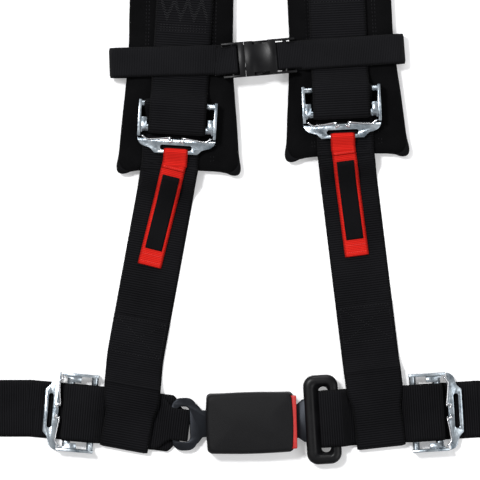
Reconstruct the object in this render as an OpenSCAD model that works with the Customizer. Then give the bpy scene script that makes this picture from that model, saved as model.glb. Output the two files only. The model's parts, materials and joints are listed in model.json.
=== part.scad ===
// Four-point racing harness, laid flat on z = 0.
// +X points to the wearer's left as seen from above, +Y to the shoulder anchors.

/* [Webbing] */
// Width of the main two-inch webbing
web_w = 50.8; // [40:0.2:54]
// Thickness of the main webbing
web_t = 1.4; // [1.0:0.1:1.6]
// Width of the one-inch sternum webbing
chest_w = 26.5; // [20:0.5:27]
// Thickness of the sternum webbing
chest_t = 1.2; // [0.8:0.1:1.4]
// Gap left between layers that are not sewn together
gap = 0.3; // [0.2:0.05:0.4]

/* [Overall] */
// Reach of the lap anchors on each side of the middle
lap_reach = 425; // [360:1:520]
// Distance from the lap belt line up to the shoulder anchors' bolt holes
torso_len = 878; // [800:1:1100]

/* [Pads] */
// Length of a shoulder pad
pad_len = 380; // [300:1:440]
// Width of a shoulder pad at its shoulder end
pad_w_top = 92; // [84:1:100]
// Width of a shoulder pad at its lower end
pad_w_low = 107; // [100:1:116]
// Thickness of a shoulder pad
pad_t = 12; // [9:0.5:14]
// Thickness of the pad's cover cloth
cover_t = 1.2; // [0.8:0.1:2]

/* [Adjusters] */
// Width of an adjuster over its ears
adj_w = 69.5; // [68:0.5:76]
// Distance from the fixed bar to the tip of the nose
adj_len = 43; // [42:0.5:52]
// Thickness of the pressed steel
adj_t = 2.4; // [2:0.1:3]
// Radius of the fixed bar
fixed_r = 3; // [2.4:0.1:3.2]
// Radius of the knurled slide bar
slide_r = 3.5; // [3:0.1:3.8]
// Travel of the slide bar in its slots
slide_run = 2.5; // [1.5:0.1:3]

/* [Pull tabs] */
// Width of a pull tab
tab_w = 21.5; // [18:0.5:24]
// Length of a pull tab beyond the nose
tab_len = 105; // [80:1:130]
// Thickness of the pull tab webbing
tab_t = 1.1; // [0.8:0.1:1.2]

/* [Buckle] */
// Length of the buckle's cover
buckle_len = 80; // [76:1:92]
// Width of the buckle's cover
buckle_w = 53; // [52:1:60]
// Height of the buckle
buckle_h = 23; // [22:0.5:28]
// Wall of the moulded buckle shells
shell_t = 2; // [1.5:0.1:2.4]
// Width of the tongue's blade
blade_w = 30; // [24:0.5:32]
// Thickness of the tongue and bail plates
plate_t = 2.5; // [2:0.1:2.6]
// Travel of the press button
press_run = 3.5; // [2:0.1:4]

/* [Anchors] */
// Radius of an anchor's bolt hole
bolt_r = 5.75; // [5:0.05:6.5]
// Width of an anchor plate
anchor_w = 64; // [62:1:76]
// Thickness of an anchor plate
anchor_t = 3; // [2.5:0.1:3.2]

/* [Sternum buckle] */
// Length of the side-release buckle
clip_len = 65; // [62:1:74]
// Width of the side-release buckle
clip_w = 31; // [31:0.5:36]

/* [Hidden] */
$fn = 48;
black = [0.06, 0.06, 0.07];
pad_black = [0.03, 0.03, 0.035];
zinc = [0.75, 0.78, 0.82];
red = [0.8, 0.1, 0.08];
plastic = [0.13, 0.13, 0.14];
steel = [0.3, 0.33, 0.38];

// Layers of webbing, as heights of their middles above the surface they lie on
layer1 = web_t / 2;
layer2 = layer1 + web_t + gap;
// Sewn layers lie a stitch's slack apart
sewn_gap = 0.1;
sewn = layer1 + web_t + sewn_gap;
// Stretches that overlap in one strap differ by this much in thickness
step_t = 0.1;

// Adjuster, in its own frame: +X from the fixed bar to the nose, z = 0 under the strap
fixed_z = web_t + gap + fixed_r;
slide_x = 21;
slide_z = 8.4;
nose_z = 5;
nose_in = adj_len - 12.5;
slot_out = adj_len - 3;
slot_in = adj_len - 7.5;
tab_pivot_x = adj_len - 1.5;
tab_loop_r = 2.1;
ear_in = -3.3;
ear_out = adj_len - 8;
ear_z0 = 1.9;
ear_z1 = 13.6;
wrap_r = slide_r + gap + web_t / 2;
fixed_wrap_r = fixed_r + gap + web_t / 2;
nose_w = 44;
tail_len = 100;

// Places on the floor plan: belt line, pads, adjusters. Pairs are [left, right].
eye_r = 16;
belt_y = 46 - (torso_len + eye_r + 46) / 2;
hole_y = belt_y + torso_len;
pad_base = chest_t + gap;
pad_z = pad_base + pad_t + gap;
pad_x = [-61, 82.5];
pad_low_y = [belt_y + 213, belt_y + 227];
pad_turn = [-1, 3];
sh_x = [-64, 80];
sh_y = [belt_y + 272, belt_y + 286];
sh_turn = [-3.5, 2.5];
lap_x = [-141, 146];
lap_y = [belt_y - 2.5, belt_y - 1.8];
lap_turn = [5, 3.5];
front_turn = [-10.4, 7];
bend_x = adj_len + 13;
hem_up = 86;
loop_w = 42;
loop_down = 40;
loop_z = 9;

// Main buckle's frame: +X from the bail to the tongue
buckle_at = [1, belt_y - 10];
buckle_turn = 1.5;
tongue_turn = 2;
half_len = buckle_len / 2;
bail_z = 6.4;
tongue_z = 10.2;
cover_z = 8;

// Sternum buckle's frame: +X from the plug to the socket
clip_at = [7.5, belt_y + 314];
clip_turn = 5;
clip_z = pad_z + chest_t + gap;
clip_t = 9;

// Points along a circle, from angle a to angle b
function arc(c, r, a, b, n = 12) =
    [for (i = [0 : n]) c + r * [cos(a + (b - a) * i / n), sin(a + (b - a) * i / n)]];
function unit(v) = v / norm(v);
function side(p, i) = let (d = unit(p[i + 1] - p[i])) [-d[1], d[0]];
function before(p, i) = side(p, max(i - 1, 0));
function after(p, i) = side(p, min(i, len(p) - 2));
function miter(p, i) = let (m = unit(before(p, i) + after(p, i))) m / (m * before(p, i));

// A strap whose middle follows path in X and Z, with its width along Y
module ribbon(path, w, t) {
    rotate([90, 0, 0]) linear_extrude(w, center = true) line(path, t);
}

// A line of width t through the points of path
module line(path, t) {
    n = len(path) - 1;
    one_side = [for (i = [0 : n]) path[i] + miter(path, i) * t / 2];
    other = [for (i = [n : -1 : 0]) path[i] - miter(path, i) * t / 2];
    polygon(concat(one_side, other));
}

// A rectangle with round corners, centred
module round_rect(size, r) {
    x = size[0] / 2 - r;
    y = size[1] / 2 - r;
    polygon(concat(
        arc([x, y], r, 0, 90, 6),
        arc([-x, y], r, 90, 180, 6),
        arc([-x, -y], r, 180, 270, 6),
        arc([x, -y], r, 270, 360, 6)
    ));
}

// A box from one corner to the other
module span(a, b) {
    translate(a) cube(b - a);
}

// Puts children at a point of the plan, turned so that +X is the given heading
module at(xy, heading, z = 0) {
    translate([xy[0], xy[1], z]) rotate([0, 0, heading]) children();
}

module at_shoulder(i) {
    at([sh_x[i], sh_y[i]], -90 + sh_turn[i], pad_z) children();
}

module at_lap(i) {
    at([lap_x[i], lap_y[i]], i == 0 ? 180 - lap_turn[0] : lap_turn[1]) children();
}

// The strap that passes under the nose: looped round the fixed bar and sewn down
module bar_loop() {
    back = [[adj_len * 0.42, sewn], [12.5, sewn]];
    rise = [[8, 3.8]];
    turn = arc([0, fixed_z], fixed_wrap_r, 60, 270, 16);
    ribbon(concat(back, rise, turn, [[bend_x + 3, layer1]]), web_w, web_t);
}

// The strap that comes over the top: wrapped round the slide bar, with its tail beneath
function slide_wrap(tail, lift) = concat(
    [[-tail, layer1 + lift], [-10.5, layer1 + lift], [-2.5, 10.4], [3, 10.4], [12, 5.2]],
    [[slide_x - 3, slide_z - wrap_r]],
    arc([slide_x, slide_z], wrap_r, -90, 90, 16),
    [[-3, slide_z + wrap_r], [-13, layer2 + lift]]
);

// An anchor's end of a strap: an eye round the anchor plate's inner bar, at x = 0
eye_loop_r = 3.4;
eye_z = web_t + eye_loop_r;
function anchor_eye(s) = concat(
    arc([0, eye_z], eye_loop_r + web_t / 2, -90, s > 0 ? 90 : -270, 16),
    [[-s * 9, 4.2], [-s * 13, sewn], [-s * 42, sewn]]
);

// Webbing from a shoulder anchor, over the pad and the adjuster, to its own tail
module shoulder_strap(i) {
    run = (hole_y - sh_y[i]) / cos(sh_turn[i]) - anchor_len;
    off = pad_low_y[i] + pad_len - sh_y[i] + 6;
    floor_z = layer1 - pad_z;
    color(black) at_shoulder(i) {
        ribbon(concat(
            slide_wrap(tail_len, 0),
            [[-tail_len - 3, layer2], [-tail_len - 9, layer1]],
            [[-off, layer1], [-off - 16, floor_z], [-run + 12, floor_z]]
        ), web_w, web_t);
        translate([-run, 0, -pad_z])
            ribbon(concat([[20, layer1]], anchor_eye(-1)), web_w, web_t);
    }
}

// Webbing from an adjuster's fixed bar down to its sewn loop round the lap belt
module front_strap(i) {
    foot = bend_x * [sin(sh_turn[i]), -cos(sh_turn[i])];
    run = (sh_y[i] + foot[1] - belt_y + loop_down) / cos(front_turn[i]);
    loop_r = (loop_z - layer1) / 2;
    hem = run - (hem_up + loop_down) / cos(front_turn[i]);
    color(black) {
        at_shoulder(i) bar_loop();
        at([sh_x[i], sh_y[i]] + foot, -90 + front_turn[i]) {
            ribbon([
                [-3, pad_z + layer1], [9, pad_z + layer1],
                [24, layer1], [run - 60, layer1]
            ], web_w, web_t - step_t);
            ribbon(concat(
                [[hem, sewn], [run - 80, sewn], [run - 70, loop_z]],
                arc([run - loop_r - web_t / 2, layer1 + loop_r], loop_r, 90, -90, 16),
                [[run - 84, layer1]]
            ), loop_w, web_t - 2 * step_t);
            ribbon([[hem - 1, sewn], [run - 82, sewn]], web_w, web_t - step_t);
        }
    }
}

// Webbing from a lap adjuster's fixed bar, under its nose, to the lap anchor
module lap_strap_outer(i) {
    s = i == 0 ? -1 : 1;
    dir = i == 0 ? 180 - lap_turn[0] : lap_turn[1];
    foot = [lap_x[i], lap_y[i]] + bend_x * [cos(dir), sin(dir)];
    run = s * (s * lap_reach - foot[0]) - anchor_len;
    color(black) {
        at_lap(i) bar_loop();
        at(foot, i == 0 ? 180 : 0) {
            ribbon([[-4, layer1], [run - 12, layer1]], web_w, web_t);
            translate([run, 0]) ribbon(concat([[-20, layer1]], anchor_eye(1)), web_w, web_t);
        }
    }
}

lift = web_t + gap;
under_main = layer2 + lift - web_t - sewn_gap;
function lap_main() = slide_wrap(44, lift);

// Webbing from the left lap adjuster to an eye in the bail plate's slot, in the
// buckle's frame, where it is gathered to bail_eye_w
bail_bar_x = -68.9;
bail_eye_r = 3.45;
bail_eye_w = 25;
module lap_strap_inner_left() {
    color(black) at_lap(0)
        ribbon(concat(lap_main(), [[-62, layer2 + lift]]), web_w, web_t);
    color(black) at_buckle() ribbon(concat(
        [[bail_bar_x - 20, layer2 + lift], [bail_bar_x - 13, layer2 + lift]],
        [[bail_bar_x - 5, bail_z + bail_eye_r]],
        arc([bail_bar_x, bail_z], bail_eye_r, 90, -90, 16),
        [[bail_bar_x - 7, 3], [bail_bar_x - 12, under_main], [bail_bar_x - 20, under_main]]
    ), bail_eye_w, web_t - step_t);
}

// Webbing from the right lap adjuster, down through the tongue cover's slot and back
module lap_strap_inner_right() {
    over = tongue_cover_z + tongue_cover_h / 2 + gap + layer1;
    under = tongue_cover_z - tongue_cover_h / 2 - gap - layer1;
    color(black) at_lap(1) ribbon(concat(
        lap_main(),
        [[-58, layer2 + lift], [-65, over - 0.5], [-68, over], [-77, over], [-79.5, over - 2.5]],
        [[-79.5, under + 2.5], [-77, under], [-68, under], [-60, under_main], [-50, under_main]]
    ), web_w, web_t);
}

// Outline of a shoulder pad: narrow at the shoulder, flared at the lower end.
// x runs from the lower edge to the shoulder edge; inset shrinks it all round.
module pad_outline(inset) {
    low = pad_w_low / 2 - inset;
    top = pad_w_top / 2 - inset;
    r = 9 - inset;
    polygon(concat(
        arc([inset + r, low - r], r, 180, 90, 6),
        [[60, top + 2], [120, top]],
        arc([pad_len - inset - r, top - r], r, 90, 0, 6),
        arc([pad_len - inset - r, r - top], r, 0, -90, 6),
        [[120, -top], [60, -top - 2]],
        arc([inset + r, r - low], r, -90, -180, 6)
    ));
}

module at_pad(i) {
    at([pad_x[i], pad_low_y[i]], 90 + pad_turn[i], pad_base) children();
}

// Sewn cloth sleeve round the foam
module pad_cover(i) {
    color(pad_black) at_pad(i) difference() {
        linear_extrude(pad_t) pad_outline(0);
        translate([0, 0, cover_t]) linear_extrude(pad_t - 2 * cover_t) pad_outline(cover_t);
    }
}

// Closed-cell foam inside the sleeve
module pad_foam(i) {
    color("dimgray") at_pad(i)
        translate([0, 0, cover_t + 0.05])
            linear_extrude(pad_t - 2 * cover_t - 0.1) pad_outline(cover_t + 0.05);
}

// Sternum webbing: a loop round the pad, and a leg to a bar of the side-release buckle.
// x runs along the strap; s is the side of the buckle's bar that the pad is on.
chest_turn = [1.5, 3.9];
chest_y = [belt_y + 310.5, belt_y + 315];
clip_eye_w = 24;
chest_out = [-116, 127];
chest_in = [-12, 30];
chest_high = pad_z + 2 * (web_t + gap) + chest_t / 2 + 0.6;
chest_low = pad_z + chest_t / 2;
clip_bar_z = clip_z + clip_t / 2;
clip_bar_r = 1.8;
clip_eye_r = clip_bar_r + gap + chest_t / 2;
module sternum_strap(i, bar_x) {
    s = i == 0 ? 1 : -1;
    out = s * chest_out[i];
    in = s * chest_in[i];
    bar = s * bar_x;
    outer_r = (chest_high - chest_t / 2) / 2;
    inner_r = (chest_low - chest_t / 2) / 2;
    under = chest_high - chest_t - sewn_gap;
    eye_low = clip_bar_z - clip_eye_r;
    color(black) {
        translate([0, chest_y[i], 0]) rotate([0, 0, chest_turn[i]]) mirror([i, 0, 0])
            ribbon(concat(
                [[bar - 14.5, chest_high]],
                arc([out, chest_high - outer_r], outer_r, 90, 270, 16),
                arc([in, chest_t / 2 + inner_r], inner_r, -90, 90, 16),
                [[bar - 11.5, chest_low], [bar - 16.5, under], [bar - 19, under]]
            ), chest_w, chest_t);
        at(clip_at, clip_turn) mirror([i, 0, 0]) translate([-clip_bar_x, 0]) ribbon(concat(
            [[-7, eye_low], [-2, eye_low]],
            arc([0, clip_bar_z], clip_eye_r, -90, 90, 12),
            [[-13, chest_high], [-17, chest_high]]
        ), clip_eye_w, chest_t);
    }
}

// Pressed steel frame of a slide adjuster: nose plate, two ears and the fixed bar
tab_slot_w = 28.5;
grip_slot_w = 31;
module adjuster_frame(slot_w) {
    half = adj_w / 2;
    corner = 9;
    slot_mid = (slot_in + slot_out) / 2;
    color(zinc) difference() {
        union() {
            translate([0, 0, nose_z - adj_t / 2]) linear_extrude(adj_t) polygon(concat(
                [[nose_in, half - 0.5]],
                arc([ear_out - corner + 3, half - corner], corner, 90, 30, 6),
                [[adj_len - 4, nose_w / 2 + 1], [adj_len, nose_w / 2 - 3]],
                [[adj_len, 3 - nose_w / 2], [adj_len - 4, -nose_w / 2 - 1]],
                arc([ear_out - corner + 3, corner - half], corner, -30, -90, 6),
                [[nose_in, 0.5 - half]]
            ));
            for (s = [-1, 1]) {
                span([ear_in, s > 0 ? half - adj_t : -half, ear_z0],
                     [ear_out - corner + 3, s > 0 ? half : adj_t - half, ear_z1]);
            }
            translate([0, half - adj_t / 2, fixed_z]) rotate([90, 0, 0])
                cylinder(r = fixed_r, h = adj_w - adj_t);
        }
        translate([slot_mid, 0, 0]) linear_extrude(12)
            round_rect([slot_out - slot_in, slot_w], (slot_out - slot_in) / 2 - 0.05);
        for (s = [-1, 1]) translate([0, s * half, 0]) rotate([90, 0, 0])
            linear_extrude(3 * adj_t, center = true) slide_slot();
    }
}

bar_end_r = 2.2;
module slide_slot() {
    r = bar_end_r + 0.3;
    translate([slide_x, slide_z]) circle(r);
    translate([slide_x - slide_run, slide_z]) circle(r);
    translate([slide_x - slide_run, slide_z - r]) square([slide_run, 2 * r]);
}

// Knurled bar that pinches the webbing, with a stop plate inside each ear
module slide_bar() {
    inside = adj_w / 2 - adj_t - gap;
    color(zinc) translate([slide_x, 0, slide_z]) {
        rotate([90, 0, 0]) cylinder(r = bar_end_r, h = adj_w - 0.6, center = true);
        rotate([90, 0, 0]) cylinder(r = slide_r, h = 2 * inside, center = true);
        both(inside) {
            span([-9, -1.4, -4.4], [4.5, 0, 4.2]);
            span([-9, -5, 3], [1.5, 0, 4.2]);
        }
    }
}

// Two hooked wires that push the slide bar towards the nose
wire_t = 1.2;
module adjuster_springs() {
    hook = arc([31, 4.5], 1.8, 160, -60, 8);
    color(zinc) translate([0, 0, nose_z + adj_t / 2 + 0.1]) for (s = [0, 1])
        mirror([0, s, 0]) linear_extrude(wire_t)
            line(concat([[33.5, 27], [32, 24], [30.5, 16]], hook), wire_t);
}

// Red webbing tab, looped through the nose slot and sewn to itself
tab_turn = [-10.5, 5];
tab_bend = tab_pivot_x + 8;
flat = layer2 + 0.4;
flat_over = flat + tab_t + sewn_gap;
tab_drop = [[17, flat], [33, flat - pad_z]];
module pull_tab(i) {
    r = tab_loop_r + tab_t / 2;
    color(red) at_shoulder(i) {
        ribbon(concat(
            [[tab_bend + 6, flat_over], [tab_bend, flat_over]],
            arc([tab_pivot_x, nose_z], r, 80, 280, 16),
            [[tab_bend, flat], [tab_bend + 6, flat]]
        ), tab_w, tab_t);
        at([tab_bend, 0], tab_turn[i]) {
            ribbon(concat([[-2, flat]], tab_drop, [[tab_len - 9, flat - pad_z]]), tab_w, tab_t);
            ribbon([[-2, flat_over], [8, flat_over]], tab_w, tab_t);
        }
    }
}

// Plain patch sewn on the tab
label_w = 15.5;
label_x = [11, 79];
label_t = 0.6;
module tab_label(i) {
    path = concat([[label_x[0], flat]], tab_drop, [[label_x[1], flat - pad_z]]);
    raised = [for (k = [0 : 3]) path[k] + miter(path, k) * (tab_t + label_t) / 2];
    color(black) at_shoulder(i) at([tab_bend, 0], tab_turn[i])
        ribbon(raised, label_w, label_t);
}

// Steel plate that bolts to the vehicle: webbing slot near x = 0, bolt hole further out
anchor_len = 38;
anchor_slot = [2.3, 10.8];
module anchor_plate() {
    half = anchor_w / 2;
    color(zinc) translate([0, 0, eye_z - anchor_t / 2]) linear_extrude(anchor_t) difference() {
        union() {
            polygon([
                [-anchor_slot[0], 3 - half], [0.5, -half], [14, -half], [anchor_len, -eye_r],
                [anchor_len, eye_r], [14, half], [0.5, half], [-anchor_slot[0], half - 3]
            ]);
            translate([anchor_len, 0]) circle(eye_r);
        }
        translate([anchor_len, 0]) circle(bolt_r);
        translate([anchor_slot[0], -web_w / 2 - 2])
            square([anchor_slot[1] - anchor_slot[0], web_w + 4]);
    }
}

module shoulder_anchor(i) {
    run = (hole_y - sh_y[i]) / cos(sh_turn[i]) - anchor_len;
    at_shoulder(i) translate([-run, 0, -pad_z]) rotate([0, 0, 180]) anchor_plate();
}

module lap_anchor(i) {
    s = i == 0 ? -1 : 1;
    foot_y = lap_y[i] + bend_x * sin(lap_turn[i]);
    at([s * (lap_reach - anchor_len), foot_y], i == 0 ? 180 : 0) anchor_plate();
}

module at_buckle() {
    at(buckle_at, buckle_turn) children();
}

// The tongue sits a little askew in the throat, turned about throat_x
module at_tongue() {
    at_buckle() at([throat_x, 0], tongue_turn) translate([-throat_x, 0, tongue_z]) children();
}

// A close-wound spring along +Z, as a ribbed tube of touching turns
module coil(r, wire, h) {
    turns = ceil((h - 2 * wire) / (1.7 * wire));
    pitch = (h - 2 * wire) / turns;
    rotate_extrude() for (k = [0 : turns])
        translate([r, wire + k * pitch]) circle(wire, $fn = 16);
}

module both(v) {
    for (s = [0, 1]) mirror([0, s, 0]) translate([0, v, 0]) children();
}

throat_x = 30;
screw_x = half_len - 7;
screw_v = buckle_w / 2 - 6;
button_t = 2.7;
cover_end = half_len - button_t;
inside_w = buckle_w - 2 * shell_t;
neck_w = 24;
base_floor = shell_t + gap;
frame_top = 12.4;
button_z = [12.8, buckle_h - shell_t - 0.6];
head_r = 2.6;

// Lower shell: floor and walls up to the parting line, open at both ends
module buckle_base() {
    color(plastic) at_buckle() difference() {
        union() {
            difference() {
                translate([(cover_end - half_len) / 2, 0])
                    linear_extrude(cover_z) round_rect([half_len + cover_end, buckle_w], 4);
                span([shell_t - half_len, -inside_w / 2, shell_t],
                     [cover_end - shell_t, inside_w / 2, cover_z + 1]);
            }
            for (x = [-screw_x, screw_x - 3]) both(screw_v)
                translate([x, 0, 0.5]) cylinder(r = 3.4, h = cover_z - 0.5);
        }
        span([-half_len - 1, -neck_w / 2 - 1, bail_z - 1.9], [3 - half_len, neck_w / 2 + 1, 20]);
        span([cover_end - 4, -17, cover_z - 0.5], [cover_end + 1, 17, 20]);
        for (x = [-screw_x, screw_x - 3]) both(screw_v) translate([x, 0, -1]) {
            cylinder(r = 1.7, h = 20);
            cylinder(r = head_r + 0.2, h = 3);
        }
    }
}

// Upper shell: grained cover with an end opening for the press button
module buckle_cover() {
    h = buckle_h - cover_z;
    color(plastic) at_buckle() difference() {
        union() {
            difference() {
                translate([(cover_end - half_len) / 2, 0, cover_z])
                    linear_extrude(h) round_rect([half_len + cover_end, buckle_w], 4);
                span([shell_t - half_len, -inside_w / 2, cover_z - 1],
                     [cover_end - shell_t, inside_w / 2, buckle_h - shell_t]);
            }
            for (x = [-screw_x, screw_x - 3]) both(screw_v)
                span([x - 3.4, -3.4, cover_z], [x + 3.4, 5, frame_top - 0.2]);
        }
        span([cover_end - 3, -17, cover_z - 1], [cover_end + 1, 17, button_z[0]]);
        span([cover_end - 3, 0.4 - inside_w / 2, button_z[0] - 0.3],
             [cover_end + 1, inside_w / 2 - 0.4, button_z[1] + 0.3]);
        span([-half_len - 1, -neck_w / 2 - 1, 0], [3 - half_len, neck_w / 2 + 1, cover_z + 0.6]);
        for (x = [-screw_x, screw_x - 3]) both(screw_v)
            translate([x, 0, 0]) cylinder(r = 1.3, h = frame_top - 1);
    }
}

// Red press button: end strip with two arms that run inside
module press_button() {
    half = inside_w / 2 - 0.8;
    color(red) at_buckle() {
        span([cover_end - 2.4, -half, button_z[0]], [half_len, half, button_z[1]]);
        both(14) span([20, -1.5, 15], [cover_end - 2, 1.5, 17.5]);
    }
}

// Folded steel channel that carries the load from the bail to the latch
flange_v = 18.6;
rivet_x = -19;
rivet_r = 3.5;
latch_x = -8;
latch_z = 14;
pin_r = 1.5;
frame_half = 26;
frame_low = 2.6;
module buckle_frame() {
    color(steel) at_buckle() difference() {
        union() {
            span([-frame_half, -flange_v - 1, frame_low],
                 [frame_half, flange_v + 1, frame_low + plate_t - 0.05]);
            both(flange_v) span([-frame_half, -1, frame_low], [frame_half, 1, frame_top]);
            both(flange_v) span([latch_x - 4, -1, frame_low], [latch_x + 4, 1, latch_z + 4]);
        }
        translate([rivet_x, 0, 0]) cylinder(r = rivet_r + 0.05, h = 20);
        translate([latch_x, 30, latch_z]) rotate([90, 0, 0]) cylinder(r = pin_r + 0.05, h = 60);
    }
}

// Plate with the ring that the left lap webbing is sewn to
ring_x = -60;
ring_size = [22.5, 47];
ring_slot = [11.4, 31.4];
module bail_plate() {
    color(steel) at_buckle() translate([0, 0, bail_z - plate_t / 2]) linear_extrude(plate_t)
        difference() {
            union() {
                translate([ring_x, 0]) round_rect(ring_size, 9);
                polygon([
                    [ring_x + 5, -21], [ring_x + 12, -17], [-44, -neck_w / 2],
                    [rivet_x + 7, -neck_w / 2], [rivet_x + 7, neck_w / 2],
                    [-44, neck_w / 2], [ring_x + 12, 17], [ring_x + 5, 21]
                ]);
            }
            translate([ring_x - 0.9, 0]) round_rect(ring_slot, 4);
            translate([rivet_x, 0]) circle(rivet_r + 0.05);
        }
}

module bail_rivet() {
    top = bail_z + plate_t / 2;
    color(zinc) at_buckle() translate([rivet_x, 0, 0]) {
        translate([0, 0, base_floor - 0.2]) cylinder(r = 5.2, h = frame_low - base_floor + 0.2);
        translate([0, 0, base_floor]) cylinder(r = rivet_r, h = top - base_floor + 0.4);
        translate([0, 0, top]) cylinder(r = 5.2, h = 1);
    }
}

// Pivoting latch whose tooth drops through the tongue's window
tooth_x = [13, 17];
tooth_v = 6;
module latch() {
    color(steel) at_buckle() difference() {
        union() {
            span([latch_x - 3, -9, latch_z - 1], [tooth_x[1], 9, latch_z + 0.8]);
            translate([latch_x, 9, latch_z]) rotate([90, 0, 0]) cylinder(r = 2.4, h = 18);
            span([tooth_x[0], -tooth_v, tongue_z - 2], [tooth_x[1], tooth_v, latch_z]);
        }
        translate([latch_x, 30, latch_z]) rotate([90, 0, 0]) cylinder(r = pin_r + 0.05, h = 60);
    }
}

module latch_pin() {
    w = 2 * flange_v + 3;
    color(zinc) at_buckle() translate([latch_x, w / 2, latch_z]) rotate([90, 0, 0])
        cylinder(r = pin_r, h = w);
}

module latch_spring() {
    low = latch_z + 0.9;
    color(zinc) at_buckle() translate([10, 0, low])
        coil(2.6, 0.45, buckle_h - shell_t - low - 0.05);
}

// Spring-loaded block that pushes the tongue out
ejector_tip = 1.8;
module ejector() {
    color(plastic) at_buckle()
        span([ejector_tip - 8, -9, tongue_z - 1.15], [ejector_tip, 9, tongue_z + 0.6]);
}

module ejector_spring() {
    x0 = -23;
    color(zinc) at_buckle() translate([x0, 0, tongue_z]) rotate([0, 90, 0])
        coil(0.75, 0.35, ejector_tip - 8 - x0 - 0.05);
}

module buckle_screws() {
    color(zinc) at_buckle() for (x = [-screw_x, screw_x - 3]) both(screw_v)
        translate([x, 0, 0.4]) {
            cylinder(r = 1.25, h = frame_top - 2);
            cylinder(r = head_r, h = 1.4);
        }
}

// Steel tongue: blade with a latch window, and a head moulded into the cover
window = [tooth_x[0] - 1.2, tooth_x[1] + 1.6];
head_x = [49, 59];
head_v = 34;
module tongue_plate() {
    half = blade_w / 2;
    color(steel) at_tongue() translate([0, 0, -plate_t / 2]) linear_extrude(plate_t)
        difference() {
            polygon([
                [2.2, 4 - half], [6, -half], [41, -half], [46, -19], [head_x[0], -19],
                [head_x[0], -head_v], [head_x[1], -head_v],
                [head_x[1], head_v], [head_x[0], head_v],
                [head_x[0], 19], [46, 19], [41, half], [6, half], [2.2, half - 4]
            ]);
            translate([window[0], -7.5]) square([window[1] - window[0], 15]);
        }
}

tongue_cover_z = tongue_z;
tongue_cover_h = 8;
tongue_cover_x = [47.5, 78.5];
tongue_cover_w = 79.5;
tongue_slot = [60.7, 69.3];
module tongue_cover() {
    mid = (tongue_cover_x[0] + tongue_cover_x[1]) / 2;
    size = [tongue_cover_x[1] - tongue_cover_x[0], tongue_cover_w];
    color(plastic) at_tongue() difference() {
        translate([mid, 0, -tongue_cover_h / 2])
            linear_extrude(tongue_cover_h) round_rect(size, 9);
        span([tongue_slot[0], -web_w / 2 - 4, -9], [tongue_slot[1], web_w / 2 + 4, 9]);
        span([head_x[0] - 0.05, -head_v - 0.05, -plate_t / 2 - 0.05],
             [head_x[1] + 0.05, head_v + 0.05, plate_t / 2 + 0.05]);
        span([0, -19.05, -plate_t / 2 - 0.05], [head_x[0], 19.05, plate_t / 2 + 0.05]);
    }
}

module at_clip() {
    at(clip_at, clip_turn, clip_z) children();
}

// One ladder end of the side-release buckle: rails, a round bar and a low outer bar.
// x0 is the joined side; the ladder runs towards +X.
clip_bar_x = clip_len / 2 - 9;
module ladder(x0) {
    end = clip_len / 2;
    both(clip_w / 2 - 0.9) span([x0 - 0.1, -0.9, 0.8], [end, 0.9, clip_t - 0.8]);
    span([end - 2, 0.5 - clip_w / 2, 0], [end, clip_w / 2 - 0.5, 0.9]);
    translate([clip_bar_x, clip_w / 2 - 0.5, clip_t / 2]) rotate([90, 0, 0])
        cylinder(r = clip_bar_r, h = clip_w - 1);
}

// Socket half: flat hollow body with a cut-out in each side, and a ladder
socket_x = [-12.5, 13.5];
module sternum_socket() {
    wall = 1.6;
    half = clip_w / 2;
    color(plastic) at_clip() {
        ladder(socket_x[1]);
        difference() {
            span([socket_x[0], -half, 0], [socket_x[1] + 2, half, clip_t]);
            span([socket_x[0] - 1, wall - half, wall], [socket_x[1], half - wall, clip_t - wall]);
            for (s = [-1, 1]) translate([0, s * half, 0])
                span([-5, -3.2, 2.6], [8.5, 3.2, clip_t + 1]);
        }
    }
}

// Plug half: ladder, shoulder, guide and two springy arms with barbs, all one moulding
module sternum_plug() {
    half = clip_w / 2;
    mid = clip_t / 2;
    color(plastic) at_clip() {
        rotate([0, 0, 180]) ladder(-socket_x[0] + 5);
        span([socket_x[0] - 5.5, -half, 0.6], [socket_x[0] - 0.3, half, clip_t - 0.6]);
        span([socket_x[0] - 1, -2.5, mid - 1.8], [6, 2.5, mid + 1.8]);
        for (s = [-1, 1]) mirror([0, s > 0 ? 0 : 1, 0]) {
            span([socket_x[0] - 1, 7, mid - 1.8], [8, 9.6, mid + 1.8]);
            barb(mid, half);
        }
    }
}

module barb(mid, half) {
    translate([0, 0, mid - 1.8]) linear_extrude(3.6)
        polygon([[-3.5, 9.5], [-3.5, half - 0.6], [0, half - 0.6], [8, 10.5], [8, 9.5]]);
}

shoulder_strap(0);  // shoulder_strap_left
shoulder_strap(1);  // shoulder_strap_right
front_strap(0);  // front_strap_left
front_strap(1);  // front_strap_right
lap_strap_outer(0);  // lap_strap_outer_left
lap_strap_outer(1);  // lap_strap_outer_right
lap_strap_inner_left();
lap_strap_inner_right();
sternum_strap(0, clip_at[0] - clip_bar_x);  // sternum_strap_left
sternum_strap(1, clip_at[0] + clip_bar_x);  // sternum_strap_right
pad_cover(0);  // pad_cover_left
pad_foam(0);  // pad_foam_left
pad_cover(1);  // pad_cover_right
pad_foam(1);  // pad_foam_right
at_shoulder(0) adjuster_frame(tab_slot_w);  // shoulder_frame_left
at_shoulder(0) slide_bar();  // shoulder_slide_bar_left
at_shoulder(0) adjuster_springs();  // shoulder_springs_left
at_lap(0) adjuster_frame(grip_slot_w);  // lap_frame_left
at_lap(0) slide_bar();  // lap_slide_bar_left
at_lap(0) adjuster_springs();  // lap_springs_left
at_shoulder(1) adjuster_frame(tab_slot_w);  // shoulder_frame_right
at_shoulder(1) slide_bar();  // shoulder_slide_bar_right
at_shoulder(1) adjuster_springs();  // shoulder_springs_right
at_lap(1) adjuster_frame(grip_slot_w);  // lap_frame_right
at_lap(1) slide_bar();  // lap_slide_bar_right
at_lap(1) adjuster_springs();  // lap_springs_right
pull_tab(0);  // pull_tab_left
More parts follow.
